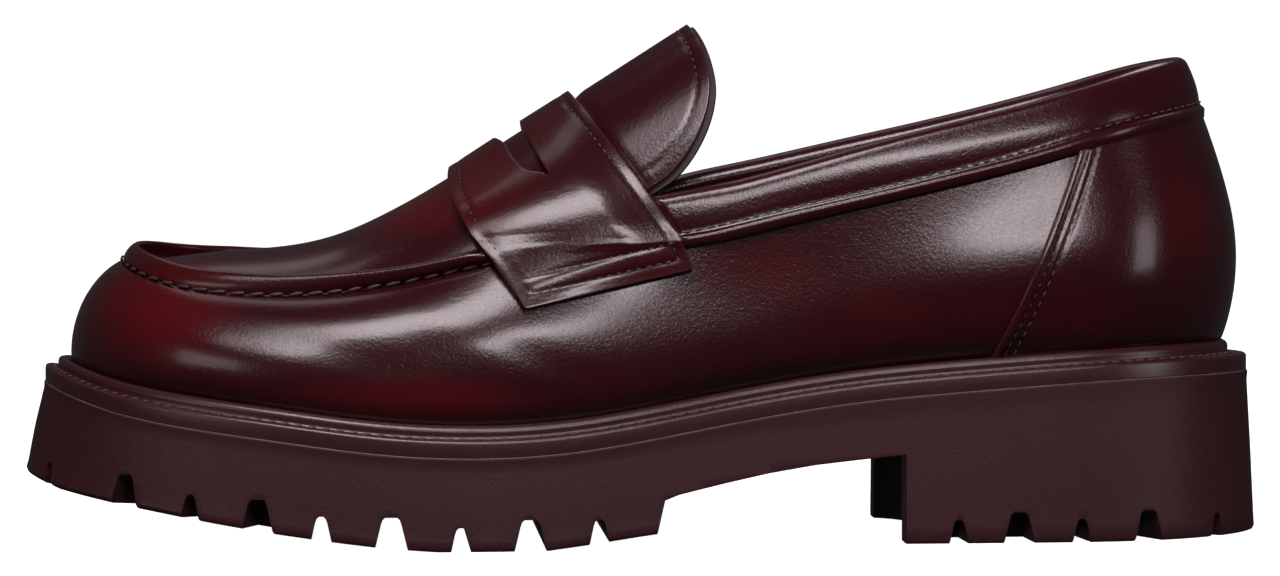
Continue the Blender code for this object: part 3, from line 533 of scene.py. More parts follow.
def stitchTree():
    tree = bpy.data.node_groups.new("stitchRow", "GeometryNodeTree")
    face = tree.interface
    face.new_socket("Geometry", in_out="INPUT", socket_type="NodeSocketGeometry")
    for name in ("Pitch", "Length", "Width", "Height", "Turn", "Unevenness"):
        face.new_socket(name, in_out="INPUT", socket_type="NodeSocketFloat")
    face.new_socket("Thread", in_out="INPUT", socket_type="NodeSocketMaterial")
    face.new_socket("Geometry", in_out="OUTPUT", socket_type="NodeSocketGeometry")

    def node(kind, values=(), out=0, **settings):
        return addNode(tree, kind, values, **settings).outputs[out]

    given = addNode(tree, "NodeGroupInput").outputs
    curve = node("GeometryNodeMeshToCurve", {0: given["Geometry"]})
    spaced = node("GeometryNodeResampleCurve", {"Curve": curve, "Length": given["Pitch"]}, mode="LENGTH")
    dots = node("GeometryNodeCurveToPoints", {0: spaced}, mode="EVALUATED")
    away = node("GeometryNodeInputNamedAttribute", {"Name": "away"}, data_type="FLOAT_VECTOR")
    upright = node("FunctionNodeAlignRotationToVector", {"Vector": away}, axis="Z")
    ahead = node("FunctionNodeAlignRotationToVector",
                 {"Rotation": upright, "Vector": dots.node.outputs["Tangent"]}, axis="X", pivot_axis="Z")
    uneven = node("FunctionNodeRandomValue", {2: -1.0, 3: 1.0, "Seed": 11}, 1, data_type="FLOAT")
    wobble = node("ShaderNodeMath", {0: uneven, 1: given["Unevenness"], 2: given["Turn"]}, operation="MULTIPLY_ADD")
    about = node("FunctionNodeAxisAngleToRotation", {"Axis": (0, 0, 1), "Angle": wobble})
    turned = node("FunctionNodeRotateRotation", {0: ahead, 1: about}, rotation_space="LOCAL")
    ball = node("GeometryNodeMeshUVSphere", {"Segments": 8, "Rings": 6, "Radius": 0.5})
    size = node("ShaderNodeCombineXYZ", {0: given["Length"], 1: given["Width"], 2: given["Height"]})
    copies = node("GeometryNodeInstanceOnPoints",
                  {"Points": dots, "Instance": ball, "Rotation": turned, "Scale": size})
    real = node("GeometryNodeRealizeInstances", {0: copies})
    smooth = node("GeometryNodeSetShadeSmooth", {0: real})
    done = node("GeometryNodeSetMaterial", {"Geometry": smooth, "Material": given["Thread"]})
    addNode(tree, "NodeGroupOutput", {0: done})
    return tree


stitchRow = stitchTree()


def stitches(name, paths, look, pitch, length, width=0.5, high=0.45, turn=0):
    # paths: (points, outward directions, closed) each; sizes in mm
    points, ways, edges = [], [], []
    for line, normals, closed in paths:
        n = len(line)
        edges += [(len(points) + i, len(points) + (i + 1) % n) for i in range(n if closed else n - 1)]
        points += (line - middle).tolist()
        ways += normals.tolist()
    mesh = newMesh(name, points, edges, [])
    mesh.attributes.new("away", "FLOAT_VECTOR", "POINT").data.foreach_set("vector", np.ravel(ways))
    row = put(name + "Row", mesh)
    made = change(row, "stitches", "NODES", node_group=stitchRow)
    given = {"Pitch": pitch * mm, "Length": length * mm, "Width": width * mm, "Height": high * mm,
             "Turn": turn, "Unevenness": 0.06, "Thread": look}
    for item in stitchRow.interface.items_tree:
        if item.in_out == "INPUT" and item.name in given:
            made[item.identifier] = given[item.name]
    seen = row.evaluated_get(bpy.context.evaluated_depsgraph_get())
    result = bpy.data.meshes.new_from_object(seen)
    bpy.data.objects.remove(row)
    result.name = name
    piece = put(name, result)
    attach(piece, "root")
    return piece


def tones(points):
    # where the polish is red, from the shoe's own places in mm, and painted shade: darker just above the welt and low
    # on the mid quarter below the strap
    x, y, z = np.moveaxis((points - middle) / mm, -1, 0)
    red = (0.75 * bell(x, -110, 17) * bell(z, 52, 13) + 0.7 * bell(x, -58, 34) * bell(z, 33, 7)
           + 0.4 * bell(x, 24, 30) * bell(z, 62, 12) + 0.55 * bell(x, 124, 12) * bell(z, 74, 20)
           + 0.35 * bell(x, 74, 40) * bell(z, 52, 8) + 0.55 * bell(x, -52, 26) * bell(z, 77, 9) - 0.15)
    # painted shade just above the welt rib and low on the mid quarter below the strap
    dark = 0.75 * step(8, 0, z - crest(points[..., 0]) / mm) + 0.35 * bell(x, 20, 40) * bell(z, 40, 12)
    return red, dark


# Upper: vamp wall with the raised lip of the moccasin seam, apron, and quarters
upper = {"perRow": 12, "wallLevels": 44, "ribs": 24, "leather": 0.9 * mm, "liningIn": 0.95 * mm,
         "lining": 0.85 * mm, "lipFull": 6.75, "lipGone": 7.6,
         "lipRows": (0, 1.5, 3, 4.5, 6, 7, 9), "lipHeights": (3.5, 4.3, 4.7, 4.3, 3.7, 3.6, 3.6),
         "lipProfile": ((0, 0), (0.1, 0.02), (0.02, 0.1), (-0.22, 0.24), (-0.32, 0.42), (-0.22, 0.62), (0.05, 0.8),
                        (0.45, 0.93), (0.95, 1.0), (1.5, 0.99), (2.0, 0.9), (2.35, 0.74), (2.5, 0.54), (2.6, 0.34),
                        (2.85, 0.17), (3.4, 0.06), (4.1, 0.01), (4.8, 0))}


def lipHeight(ring):
    row = rowOf(ring)
    tall = np.interp(row, upper["lipRows"], upper["lipHeights"]) * mm
    return tall * (1 - step(upper["lipFull"], upper["lipGone"], row))


def bodySheet(perRow, wallLevels, ribs, lip=True):
    # outer face of the whole upper: points, the same without its lip, faces, painted shade along the lip's foot
    at = np.arange(rings * perRow) / perRow
    n, cut = len(at), throat * perRow
    levels = np.linspace(0, 1, wallLevels)
    wall = wallPoint(at[:, None], levels[None])
    foot = wall[:, :1].copy()
    foot[..., 2] = deck(foot[..., 0]) + 0.3 * mm
    profile = np.array(upper["lipProfile"])[1:]
    flat = np.linspace(0, 1, len(profile) + 1)[1:]
    ahead = (rowOf(at) < throat)[:, None, None]
    seam, inward, stand = seamFrame(at)
    tall = lipHeight(at)[:, None]
    ratio = np.minimum(tall / (3.5 * mm), 1)
    a = flat * last["lipWidth"] + (profile[:, 0] * mm - flat * last["lipWidth"]) * ratio * lip
    slant = np.interp(rowOf(at), (0, 2, 4, 6), (0.75, 0.6, 0.25, 0.0))[:, None]
    a = a + slant * profile[:, 1] * tall * (flat < 0.85) * lip
    raisedLip = (seam[:, None] + a[..., None] * inward[:, None]
                 + (profile[:, 1] * tall * lip)[..., None] * stand[:, None])
    flatLip = seam[:, None] + (flat * last["lipWidth"])[None, :, None] * inward[:, None]
    where = np.clip(at, throat, rings - throat)
    collar = collarPoint(where[:, None], flat[None] / 2)
    steps = np.linspace(0, 1, 5)[1:]
    corner = np.where(ahead, ribPoint(at[:, None], 1 - (1 - last["corner"]) * steps[None]),
                      collarPoint(where[:, None], 0.5 + steps[None] / 2))
    shown, base = (np.concatenate([foot, wall, np.where(ahead, strip, collar), corner], 1)
                   for strip in (raisedLip, flatLip))
    cols = shown.shape[1]
    band = grid(n, cols)
    faces = quads(band, True)
    shares = np.linspace(last["corner"], 0, ribs)[1:]
    rows = np.arange(1, cut + 1) / perRow
    left = ribPoint(rows[:, None], shares[None])
    right = ribPoint(rings - rows[:, None], shares[None][:, -2::-1])
    crown = np.concatenate([left, right], 1)
    inner = grid(cut, crown.shape[1], n * cols)
    i = np.arange(1, cut + 1)
    index = np.column_stack([band[i, -1], inner, band[(n - i) % n, -1]])
    index = np.vstack([np.full(index.shape[1], band[0, -1]), index])
    faces += quads(index)
    # painted shade in the crease at the lip's foot, ahead of the throat
    columnGap = np.concatenate([[9], (1 - levels) * 40, np.linspace(0.3, 12, len(flat)), [15] * 4])
    creaseShade = np.where((rowOf(at) < throat)[:, None], 1.3 * bell(columnGap[None], 0, 1.3), 0)
    creaseShade = np.concatenate([creaseShade.ravel(), np.zeros(crown.shape[0] * crown.shape[1])])
    points, plain = (np.vstack([v.reshape(-1, 3), crown.reshape(-1, 3)]) for v in (shown, base))
    return points, plain, faces, creaseShade


points, plain, faces, creaseShade = bodySheet(upper["perRow"], upper["wallLevels"], upper["ribs"])
# dark: painted shade above the welt, below the strap and in the lip's crease
red, dark = tones(points)
shell("upper_leather_body", points, faces, upper["leather"], [upperLook, liningLook], base=plain,
      shades=(red, dark + creaseShade, 0 * red), slot="upper_leather", node="upper")
points, plain, faces, _ = bodySheet(4, 16, 12, False)
shell("upper_lining", plain - pointNormals(plain, faces) * upper["liningIn"], faces, upper["lining"], [liningLook],
      slot="upper_leather")
print("upper made")

# Seam stitches along the foot of the lip
moc = {"from": -6.9, "to": 6.95, "out": 0.2, "up": 0.45}
at = np.linspace(moc["from"], moc["to"], 500)
seam, inward, stand = seamFrame(at)
line = seam - inward * moc["out"] * mm + stand * moc["up"] * mm
stitches("seam_stitches", [(line, unit(-inward + 0.6 * stand), False)], seamThreadLook,
         pitch=4.4, length=3.7, width=0.9, high=0.65, turn=0.1)

# Collar band folded over the top edge, with a piped lower edge
band = {"start": 9.56, "free": 9.74, "perRow": 12,
        "face": ((0.0, 0.1), (-0.3, 0.35), (-0.42, 0.9), (-0.3, 1.5), (0.1, 2.0), (0.65, 2.2), (1.2, 2.05), (1.6, 1.75),
                 (1.95, 1.55), (2.4, 1.5), (3.0, 1.5), (3.6, 1.62), (4.4, 1.8), (5.4, 1.95)),
        "thick": 2.0, "fuller": 0.75, "inside": -3.7, "round": 2.9, "dip": -0.9,
        "stitchDown": 2.6, "stitchOut": 1.62}
at = np.linspace(band["start"], rings - band["start"], int((rings - 2 * band["start"]) * band["perRow"]) + 1)
edge, foot = backPoint(at, 2.0), backPoint(at, 1.0)
zone = np.linalg.norm(edge - foot, axis=1)
up = unit(edge - backPoint(at, 1.94))
out = normalOf(at, 2.0)
tuck = 0.1 + 0.9 * step(band["start"], band["free"], rowOf(at))  # thin where it runs under the strap
section = [raised(at, 1 + d * mm / zone, o * mm * tuck) for d, o in band["face"]]
faceEnd = band["face"][-1][0]
for share in np.linspace(0, 1, 7)[1:-1]:
    d = faceEnd + (zone / mm - 1.2 - faceEnd) * share
    section.append(raised(at, 1 + d * mm / zone, (band["thick"] + band["fuller"] * share) * mm * tuck))
face = band["thick"] + band["fuller"]
middleOff, half = (face + band["inside"]) / 2, (face - band["inside"]) / 2
for angle in np.radians(np.linspace(0, 180, 13)):
    section.append(edge + out * ((middleOff + half * math.cos(angle)) * mm * tuck)[:, None]
                   + up * ((band["dip"] + band["round"] * math.sin(angle)) * mm * tuck)[:, None])
section += [raised(at, 1 + share, band["inside"] * mm) for share in (0.85, 0.7, 0.55, 0.45)]
section += [raised(at, 1 + share, -last["wall"] - 0.1 * mm) for share in (0.45, 0.7, 0.95)]
section.append(edge + up * 0.3 * mm - out * 1.0 * mm)
section += [raised(at, 1 + share, 0.1 * mm) for share in (0.95, 0.6, 0.3)]
section = np.stack(section, 1)
index = grid(*section.shape[:2])
faces = hoopFaces(index, False) + [tuple(index[0]), tuple(index[-1][::-1])]
red, _ = tones(section)
place = np.tile(np.arange(section.shape[1]), len(at))
# painted shade in the stitched groove above the piping; painted highlight on the piping's crest and on the rolled top
# edge
addPiece("collar_band_leather", section, faces, [collarLook],
         shades=(0.3 * red, 0.8 * bell(place, 9, 1.5), 0.5 * bell(place, 23, 3) + 0.3 * bell(place, 5, 1)),
         slot="collar_leather", node="collar_band")
level = 1 + band["stitchDown"] * mm / zone
line = raised(at, level, band["stitchOut"] * mm * tuck)
stitches("collar_stitches", [(line, normalOf(at, level), False)], threadLook,
         pitch=2.7, length=1.9)
print("collar band made")

# Heel counter laid on the quarters, its front edge rolled
counter = {"topRow": 14.56, "footRow": 13.4, "low": 0.0, "high": 0.985, "face": 1.25, "thick": 1.2, "roll": 0.25,
           "rows": (2.2, 3.9), "mmPerRow": 15.5}
levels = np.linspace(counter["low"], counter["high"], 34)
w = np.concatenate([np.linspace(0, 0.16, 17), np.linspace(0.18, 0.4, 10), np.linspace(0.45, 1, 22)])
start = counter["footRow"] + (counter["topRow"] - counter["footRow"]) * levels
outer = start[None] + (last["rows"] - start[None]) * w[:, None]
at = np.vstack([outer, rings - outer[-2::-1]])
# about mm from the front edge
away = np.concatenate([w, w[-2::-1]])[:, None] * (last["rows"] - start[None]) * counter["mmPerRow"]
# dips along the two stitch rows, also used for painted shade there
stitchRowDips = bell(away, counter["rows"][0], 0.55) + bell(away, counter["rows"][1], 0.55)
lift = counter["face"] + counter["roll"] * bell(away, 0.9, 1.0) - 0.15 * stitchRowDips
sheet = raised(at, levels, lift * mm)
faces = quads(grid(*at.shape))
red, dark = tones(sheet)
# painted shade along the stitch rows, painted highlight along the rolled front edge
shell("heel_counter_leather", sheet, faces, counter["thick"] * mm, [counterLook],
      base=raised(at, levels, counter["face"] * mm),
      shades=(red, dark + 0.8 * stitchRowDips, 0.7 * (1 - step(0, 0.7, away))),
      bevel=0.3 * mm, slot="counter_leather", node="heel_counter")
paths = []
for side in (0, 1):
    for gap in counter["rows"]:
        level = np.linspace(0.03, 0.96, 60)
        ring = counter["footRow"] + (counter["topRow"] - counter["footRow"]) * level + gap / counter["mmPerRow"]
        ring = rings - ring if side else ring
        paths.append((raised(ring, level, 1.0 * mm), normalOf(ring, level), False))
stitches("counter_stitches", paths, threadLook, pitch=2.5, length=1.8)
print("heel counter made")

# Saddle strap with its slot, in rows from its foot to the ridge: front level, front row, back level, back row
strap = {"rows": ((0.62, 7.25, 0.80, 9.75), (0.80, 7.10, 0.91, 9.72), (1.00, 6.95, 1.04, 9.70), (1.15, 6.92, 1.16, 9.68),
                  (1.40, 6.98, 1.40, 9.67), (1.65, 7.12, 1.65, 9.67), (1.85, 7.25, 1.85, 9.67), (2.00, 7.30, 2.00, 9.67)),
         "slot": ((0.0, 0.37, 0.60), (0.25, 0.395, 0.60), (0.50, 0.43, 0.592), (0.70, 0.437, 0.586),
                  (0.84, 0.452, 0.582), (0.94, 0.487, 0.58), (1.0, 0.562, 0.578)),
         "slotLowest": 1.43, "blunt": 0.57, "thick": 2.0, "seat": 0.05, "edgeIn": 2.4, "footIn": 3.0, "quilt": 4.0,
         "puff": 0.13, "groove": 0.11, "stitchDeep": 0.22, "fold": 3.1 * mm}
strapCurve = spline(range(8), strap["rows"])
slotCurve = spline([r[0] for r in strap["slot"]], [r[1:] for r in strap["slot"]])
wayList = np.linspace(0, 1, 400)
slotReach = wayList[np.argmax(strapCurve((1 - wayList) * 7)[:, 0] < strap["slotLowest"])]


def strapFold(ring, level, share):
    # the strap bends over the lip, stays proud behind it and settles at its back edge
    tall = np.maximum(lipHeight(ring), strap["fold"] * (1 - 0.5 * step(0.7, 1.0, share)))
    return tall * step(0.62, 1.24, level) * (1 - step(1.24, 1.72, level))


def strapTop(share, way, above, point=True):
    # above: in mm over the strap's seat
    share, way, above = together(share, way, above)
    way = np.where(np.abs(way) < 1e-6, 1e-6, way)
    low, front, high, back = np.moveaxis(strapCurve((1 - np.abs(way)) * 7), -1, 0)
    row = front + (back - front) * share
    ring, level = np.where(way < 0, row, rings - row), np.minimum(low + (high - low) * share, 1.9999)
    lift = (strap["seat"] + above) * mm + strapFold(ring, level, share)
    return raised(ring, level, lift, frontPoint) if point else normalOf(ring, level, frontPoint)


def strapPiece():
    ways = np.sort(np.concatenate([np.linspace(-1, 1, 181), [-slotReach, slotReach]]))
    ways = np.delete(ways, np.where(np.diff(ways) < 0.004)[0])
    inSlot = np.abs(ways) < slotReach - 1e-9
    slotAt = slotCurve(np.clip(np.abs(ways) / slotReach, 0, 1))
    blunt = np.where(inSlot[:, None], slotAt, strap["blunt"])
    shares = np.concatenate([blunt[:, :1] * np.linspace(0, 1, 26),
                             blunt[:, 1:] + (1 - blunt[:, 1:]) * np.linspace(0, 1, 30)], 1)
    wayGrid = np.broadcast_to(ways[:, None], shares.shape)
    smooth = strapTop(shares, wayGrid, strap["thick"])
    low, front, high, back = np.moveaxis(strapCurve((1 - np.abs(wayGrid)) * 7), -1, 0)
    fold = strapFold(front + (back - front) * shares, low + (high - low) * shares, shares)

    def gone(axis):
        steps = np.linalg.norm(np.diff(smooth, axis=axis), axis=2) / mm
        return np.concatenate([np.zeros_like(steps.take([0], axis)), np.cumsum(steps, axis)], axis)

    ahead, over = gone(1), gone(0)
    fromEdge = np.minimum(ahead, ahead[:, -1:] - ahead)
    fromFoot = np.minimum(over, over[-1:] - over)
    e, f, q = strap["edgeIn"], strap["footIn"], strap["footIn"] + strap["quilt"]
    groove = np.maximum.reduce([bell(fromEdge, e, 0.6) * step(f - 1, f, fromFoot),
                                bell(fromFoot, f, 0.6) * step(e - 1, e, fromEdge),
                                bell(fromFoot, q, 0.6) * step(e - 0.5, e, fromEdge)])
    padding = step(e, e + 1.0, fromEdge) * np.sin(np.pi * np.clip((fromFoot - f) / strap["quilt"], 0, 1))**0.8
    sheet = strapTop(shares, wayGrid, strap["thick"] - strap["groove"] * groove + strap["puff"] * padding)
    index = grid(*shares.shape)
    merge = {b: a for (a, b), isOpen in zip(index[:, 25:27].tolist(), inSlot) if not isOpen}
    faces = quads(index[:, :26].T) + quads(index[:, 26:].T)
    faces = [tuple(dict.fromkeys(merge.get(v, v) for v in f)) for f in faces]
    used = np.unique([v for f in faces for v in f])
    number = {v: i for i, v in enumerate(used)}
    faces = [tuple(number[v] for v in f) for f in faces if len(f) > 2]
    points = sheet.reshape(-1, 3)[used]
    red, _ = tones(points)
    # painted highlight within 0.9 mm of the edges and foot
    paintedHighlight = 0.7 * (1 - step(0, 0.9, np.minimum(fromEdge, fromFoot)))
    deep = strap["thick"] * mm + 0.8 * fold.reshape(-1, 1)[used]
    # painted shade in the stitch grooves, painted highlight along the edges
    shell("saddle_strap_leather", points, faces, deep, [strapLook], base=smooth.reshape(-1, 3)[used],
          shades=(0.4 + 0.5 * red, 0.9 * groove.ravel()[used], paintedHighlight.ravel()[used]),
          bevel=0.45 * mm, slot="strap_leather", node="saddle_strap")
    paths = []
    for back in (0, 1):
        keep = [i for i in range(len(ways)) if fromFoot[i, -back] > f]
        at = [np.interp(ahead[i, -1] - e if back else e, ahead[i], shares[i]) for i in keep]
        paths.append((np.array(at), ways[keep]))
    for foot in (0, 1):
        for deep in (f, q):
            keep = [k for k in range(shares.shape[1]) if 0.03 < shares[0, k] < 0.97 and e < fromEdge[-foot, k]]
            way = [np.interp(over[-1, k] - deep if foot else deep, over[:, k], ways) for k in keep]
            paths.append((shares[0, keep], np.array(way)))
    top = strap["thick"] - strap["stitchDeep"]
    rows = [(strapTop(a, w, top), strapTop(a, w, 0, False), False) for a, w in paths]
    stitches("strap_stitches", rows, threadLook, pitch=2.2, length=1.65, width=0.48, high=0.42)


strapPiece()
print("strap made")

# Tongue in two layers, the lower one standing out beyond the upper one
tongue = {"start": -35.0, "tip": 12.7, "rounding": 13.0, "corner": 13.0, "cornerFrom": 0.62, "halfAngle": 62.0,
          "wide": 32.4, "deep": 48.6, "drop": 2.4, "layer": 1.15, "edgeIn": 2.7, "beyond": 0.8, "halfWidth": 35.0,
          "stitchFrom": -24}


def tongueEnd(way):
    over = np.clip((np.abs(way) - tongue["cornerFrom"]) / (1 - tongue["cornerFrom"]), 0, 1)
    return tongue["tip"] - tongue["rounding"] * np.abs(way)**3.2 - tongue["corner"] * (1 - np.sqrt(1 - over**2.4))


def tonguePoint(way, reach, drop=0.0):
    way, reach = together(way, reach)
    first, zero = ridgeCurve(throat)[:3], ridgeCurve(throat + 2)[:3]
    ahead = unit(zero - first)
    down = np.array([ahead[2], 0, -ahead[0]])
    zero = zero + ahead * 0.6 * mm
    angle = np.radians(tongue["halfAngle"]) * way
    sink = tongue["drop"] * (1 - step(-26, -15, reach))[..., None] + drop
    lean = unit(np.sin(angle)[..., None] * np.array([0, 1.0, 0]) - np.cos(angle)[..., None] * down)
    depth = tongue["deep"] * (1 - np.cos(angle))
    point = zero + (ahead * reach[..., None] + down * depth[..., None] - lean * sink) * mm
    return point + np.array([0, 1.0, 0]) * (tongue["wide"] * mm * np.sin(angle))[..., None]


def tonguePieces():
    ways, shares = np.sin(np.radians(np.linspace(-90, 90, 111))), 1 - (1 - np.linspace(0, 1, 61))**1.25
    ends = tongueEnd(ways)[:, None]
    reach = tongue["start"] + (ends - tongue["start"]) * shares[None]
    wayGrid = ways[:, None] + 0 * reach
    sheet = tonguePoint(wayGrid, reach)
    rimWays = np.sin(np.radians(np.linspace(-90, 90, 401)))
    border = np.column_stack([rimWays * tongue["halfWidth"], tongueEnd(rimWays)])
    side = np.linspace(tongue["start"], border[0, 1], 60)
    outline = np.vstack([np.column_stack([0 * side - tongue["halfWidth"], side]), border,
                         np.column_stack([0 * side + tongue["halfWidth"], side[::-1]])])
    place = np.stack([wayGrid * tongue["halfWidth"], reach], -1)
    fromEdge = np.linalg.norm(place[:, :, None] - outline[None, None], axis=3).min(2)
    faces = quads(grid(*reach.shape).T)
    groove = bell(fromEdge, tongue["edgeIn"], 0.6)
    red, _ = tones(sheet)
    top = tonguePoint(wayGrid, reach, 0.1 * groove[..., None])
    # painted shade in the stitch groove, painted highlight within 0.8 mm of the edge
    shell("tongue_leather", top, faces, tongue["layer"] * mm, [tongueLook], base=sheet,
          shades=(red, 0.8 * groove, 0.7 * (1 - step(0, 0.8, fromEdge))),
          bevel=0.4 * mm, slot="tongue_leather", node="tongue")
    more = tongue["beyond"]
    reach = tongue["start"] + (ends + more - tongue["start"]) * shares[None]
    under = tonguePoint(wayGrid * (1 + more / tongue["halfWidth"]), reach, tongue["layer"] + 0.05)
    shell("tongue_lining", under, faces, tongue["layer"] * mm, [liningLook], bevel=0.4 * mm,
          slot="tongue_leather")
    ahead = unit(np.gradient(outline, axis=0))
    line = outline + np.column_stack([ahead[:, 1], -ahead[:, 0]]) * tongue["edgeIn"]
    inside = np.linalg.norm(line[:, None] - outline[None], axis=2).min(1) > tongue["edgeIn"] - 0.08
    line = line[inside & (line[:, 1] > tongue["stitchFrom"])]
    way, reach = line[:, 0] / tongue["halfWidth"], line[:, 1]
    points = tonguePoint(way, reach, 0.15)
    stitches("tongue_stitches", [(points, unit(points - tonguePoint(way, reach, 2.0)), False)], threadLook,
             pitch=2.3, length=1.6)


tonguePieces()
print("tongue made")

# Welt: storm rib against the upper, stitched channel, rounded edge
welt = {"perRow": 8, "rimFrom": 13, "stitchOut": 3.75, "stitchUp": 4.25,
        "profile": ((0.1, 0.2), (0.1, 6.4), (0.5, 7.0), (1.1, 7.25), (1.8, 7.2), (2.5, 6.85), (2.95, 6.2),
                    (3.05, 5.5), (2.95, 4.9), (3.1, 4.35), (3.4, 4.1), (3.9, 4.05), (4.3, 4.15), (-0.9, 4.2),
                    (-0.45, 4.1), (-0.12, 3.8), (0, 3.3), (0, 1.2), (0, 0.5), (0, 0.0)),
        "highlightRing": ((-0.3, 0.05), (0.0, 0.25), (0.2, 0.05), (0.0, -0.15))}
at = np.arange(rings * welt["perRow"]) / welt["perRow"]
wide = margin(outward(at))[:, None]
profile = np.array(welt["profile"]) * mm
fromRim = np.arange(len(profile)) >= welt["rimFrom"]  # the points before are measured from the foot line
sheet = edgeRing(at[:, None], np.where(fromRim, wide, 0) + profile[:, 0], profile[:, 1])
addPiece("welt_rubber_body", sheet, hoopFaces(grid(*sheet.shape[:2])), [weltLook],
         slot="welt_rubber", node="welt")
highlightRing = np.array(welt["highlightRing"]) * mm  # thin lighter ring under the welt: a painted highlight along the outsole's top edge
sheet = edgeRing(at[:, None], wide + highlightRing[:, 0], highlightRing[:, 1])
addPiece("painted_sole_highlight_line", sheet, hoopFaces(grid(*sheet.shape[:2])), [soleHighlightLook],
         slot="outsole_rubber")
at = np.linspace(0, rings, 900)[:-1]
line = edgeRing(at, welt["stitchOut"] * mm, welt["stitchUp"] * mm)
stitches("welt_stitches", [(line, np.tile([0, 0, 1.0], (len(line), 1)), True)], threadLook,
         pitch=3.1, length=2.5, width=0.75, high=0.6)
print("welt made")

# Outsole: one moulding with arch, heel block and lugs, cut from its own outline
sole = {"perRow": 8, "pitch": 15.5, "wide": (8.0, 3.6, 7.0), "narrow": (5.0, 1.8, 5.4), "pocket": 16 * mm,
        "rounding": 0.55 * mm, "breast": 12 * mm, "across": 80 * mm, "beyond": 12 * mm, "below": 6 * mm,
        "bowAt": (71.2, 33), "bowBack": 2 * mm, "archOver": 4 * mm, "overlap": 0.3 * mm, "middleBar": 33.3,
        "toePockets": (16.3, 10.7, 5.2, -1.1), "heelPockets": (75.7, 80.9, 86.3, 92.25, 98.7),
        "line": ((-5.3, 14.2), (-0.5, 10.9), (3.9, 9.1), (7.8, 7.6), (12.9, 5.5), (17.9, 3.6), (22.8, 2.0), (26.9, 0.8),
                 (31.4, 0.0), (40.5, 0.0), (44.2, 1.1), (48.0, 2.4), (51.0, 3.3), (57.0, 3.3), (64.5, 0.0), (105.7, 0.0)),
        "arch": ((50.5, 9.8), (51.7, 10.9), (55.6, 13.0), (59.4, 14.9), (63.3, 16.4), (67.2, 17.4), (71.2, 18.4))}


def underside(x):
    line = np.array(sole["line"])
    return np.interp(x, along(line[:, 0]), height(line[:, 1]))


def bar(centre, way, start, end, profile):
    # loops at both ends of a level bar, from its (sideways, height) profile
    way = np.array(way, float)
    side = np.array([-way[1], way[0]])
    return [[(*(np.array(centre) + way * reach + side * aside), z) for aside, z in profile] for reach in (start, end)]


def cutter(name, prisms):
    points, faces = [], []
    for loops in prisms:
        n, first = len(loops[0]), len(points)
        points += loops[0] + loops[1]
        faces += [(first + k, first + (k + 1) % n, first + n + (k + 1) % n, first + n + k) for k in range(n)]
        faces += [tuple(first + k for k in reversed(range(n))), tuple(first + n + k for k in range(n))]
    return put(name, newMesh(name, (np.array(points) - middle).tolist(), [], faces))


def notch(size, floor):
    # size: width at the floor, width at the top, depth
    foot, top, tall = size[0] / 2 * mm, size[1] / 2 * mm, size[2] * mm
    below = sole["below"]
    low = foot + (foot - top) / tall * below
    side = [(low, -below), (foot * 0.82 + top * 0.18, 0), (top + 0.45 * mm, tall - 1.5 * mm),
            (top + 0.1 * mm, tall - 0.5 * mm), (top - 0.45 * mm, tall)]
    return [(-x, floor + z) for x, z in side[::-1] + side[:1]] + [(x, floor + z) for x, z in side]


def ringAt(x, outer, offset):
    low, high = (0.0, 17.0) if outer else (34.0, 17.0)
    for _ in range(40):
        half = (low + high) / 2
        low, high = (half, high) if edgeRing(half, offset, 0)[0] < x else (low, half)
    return half


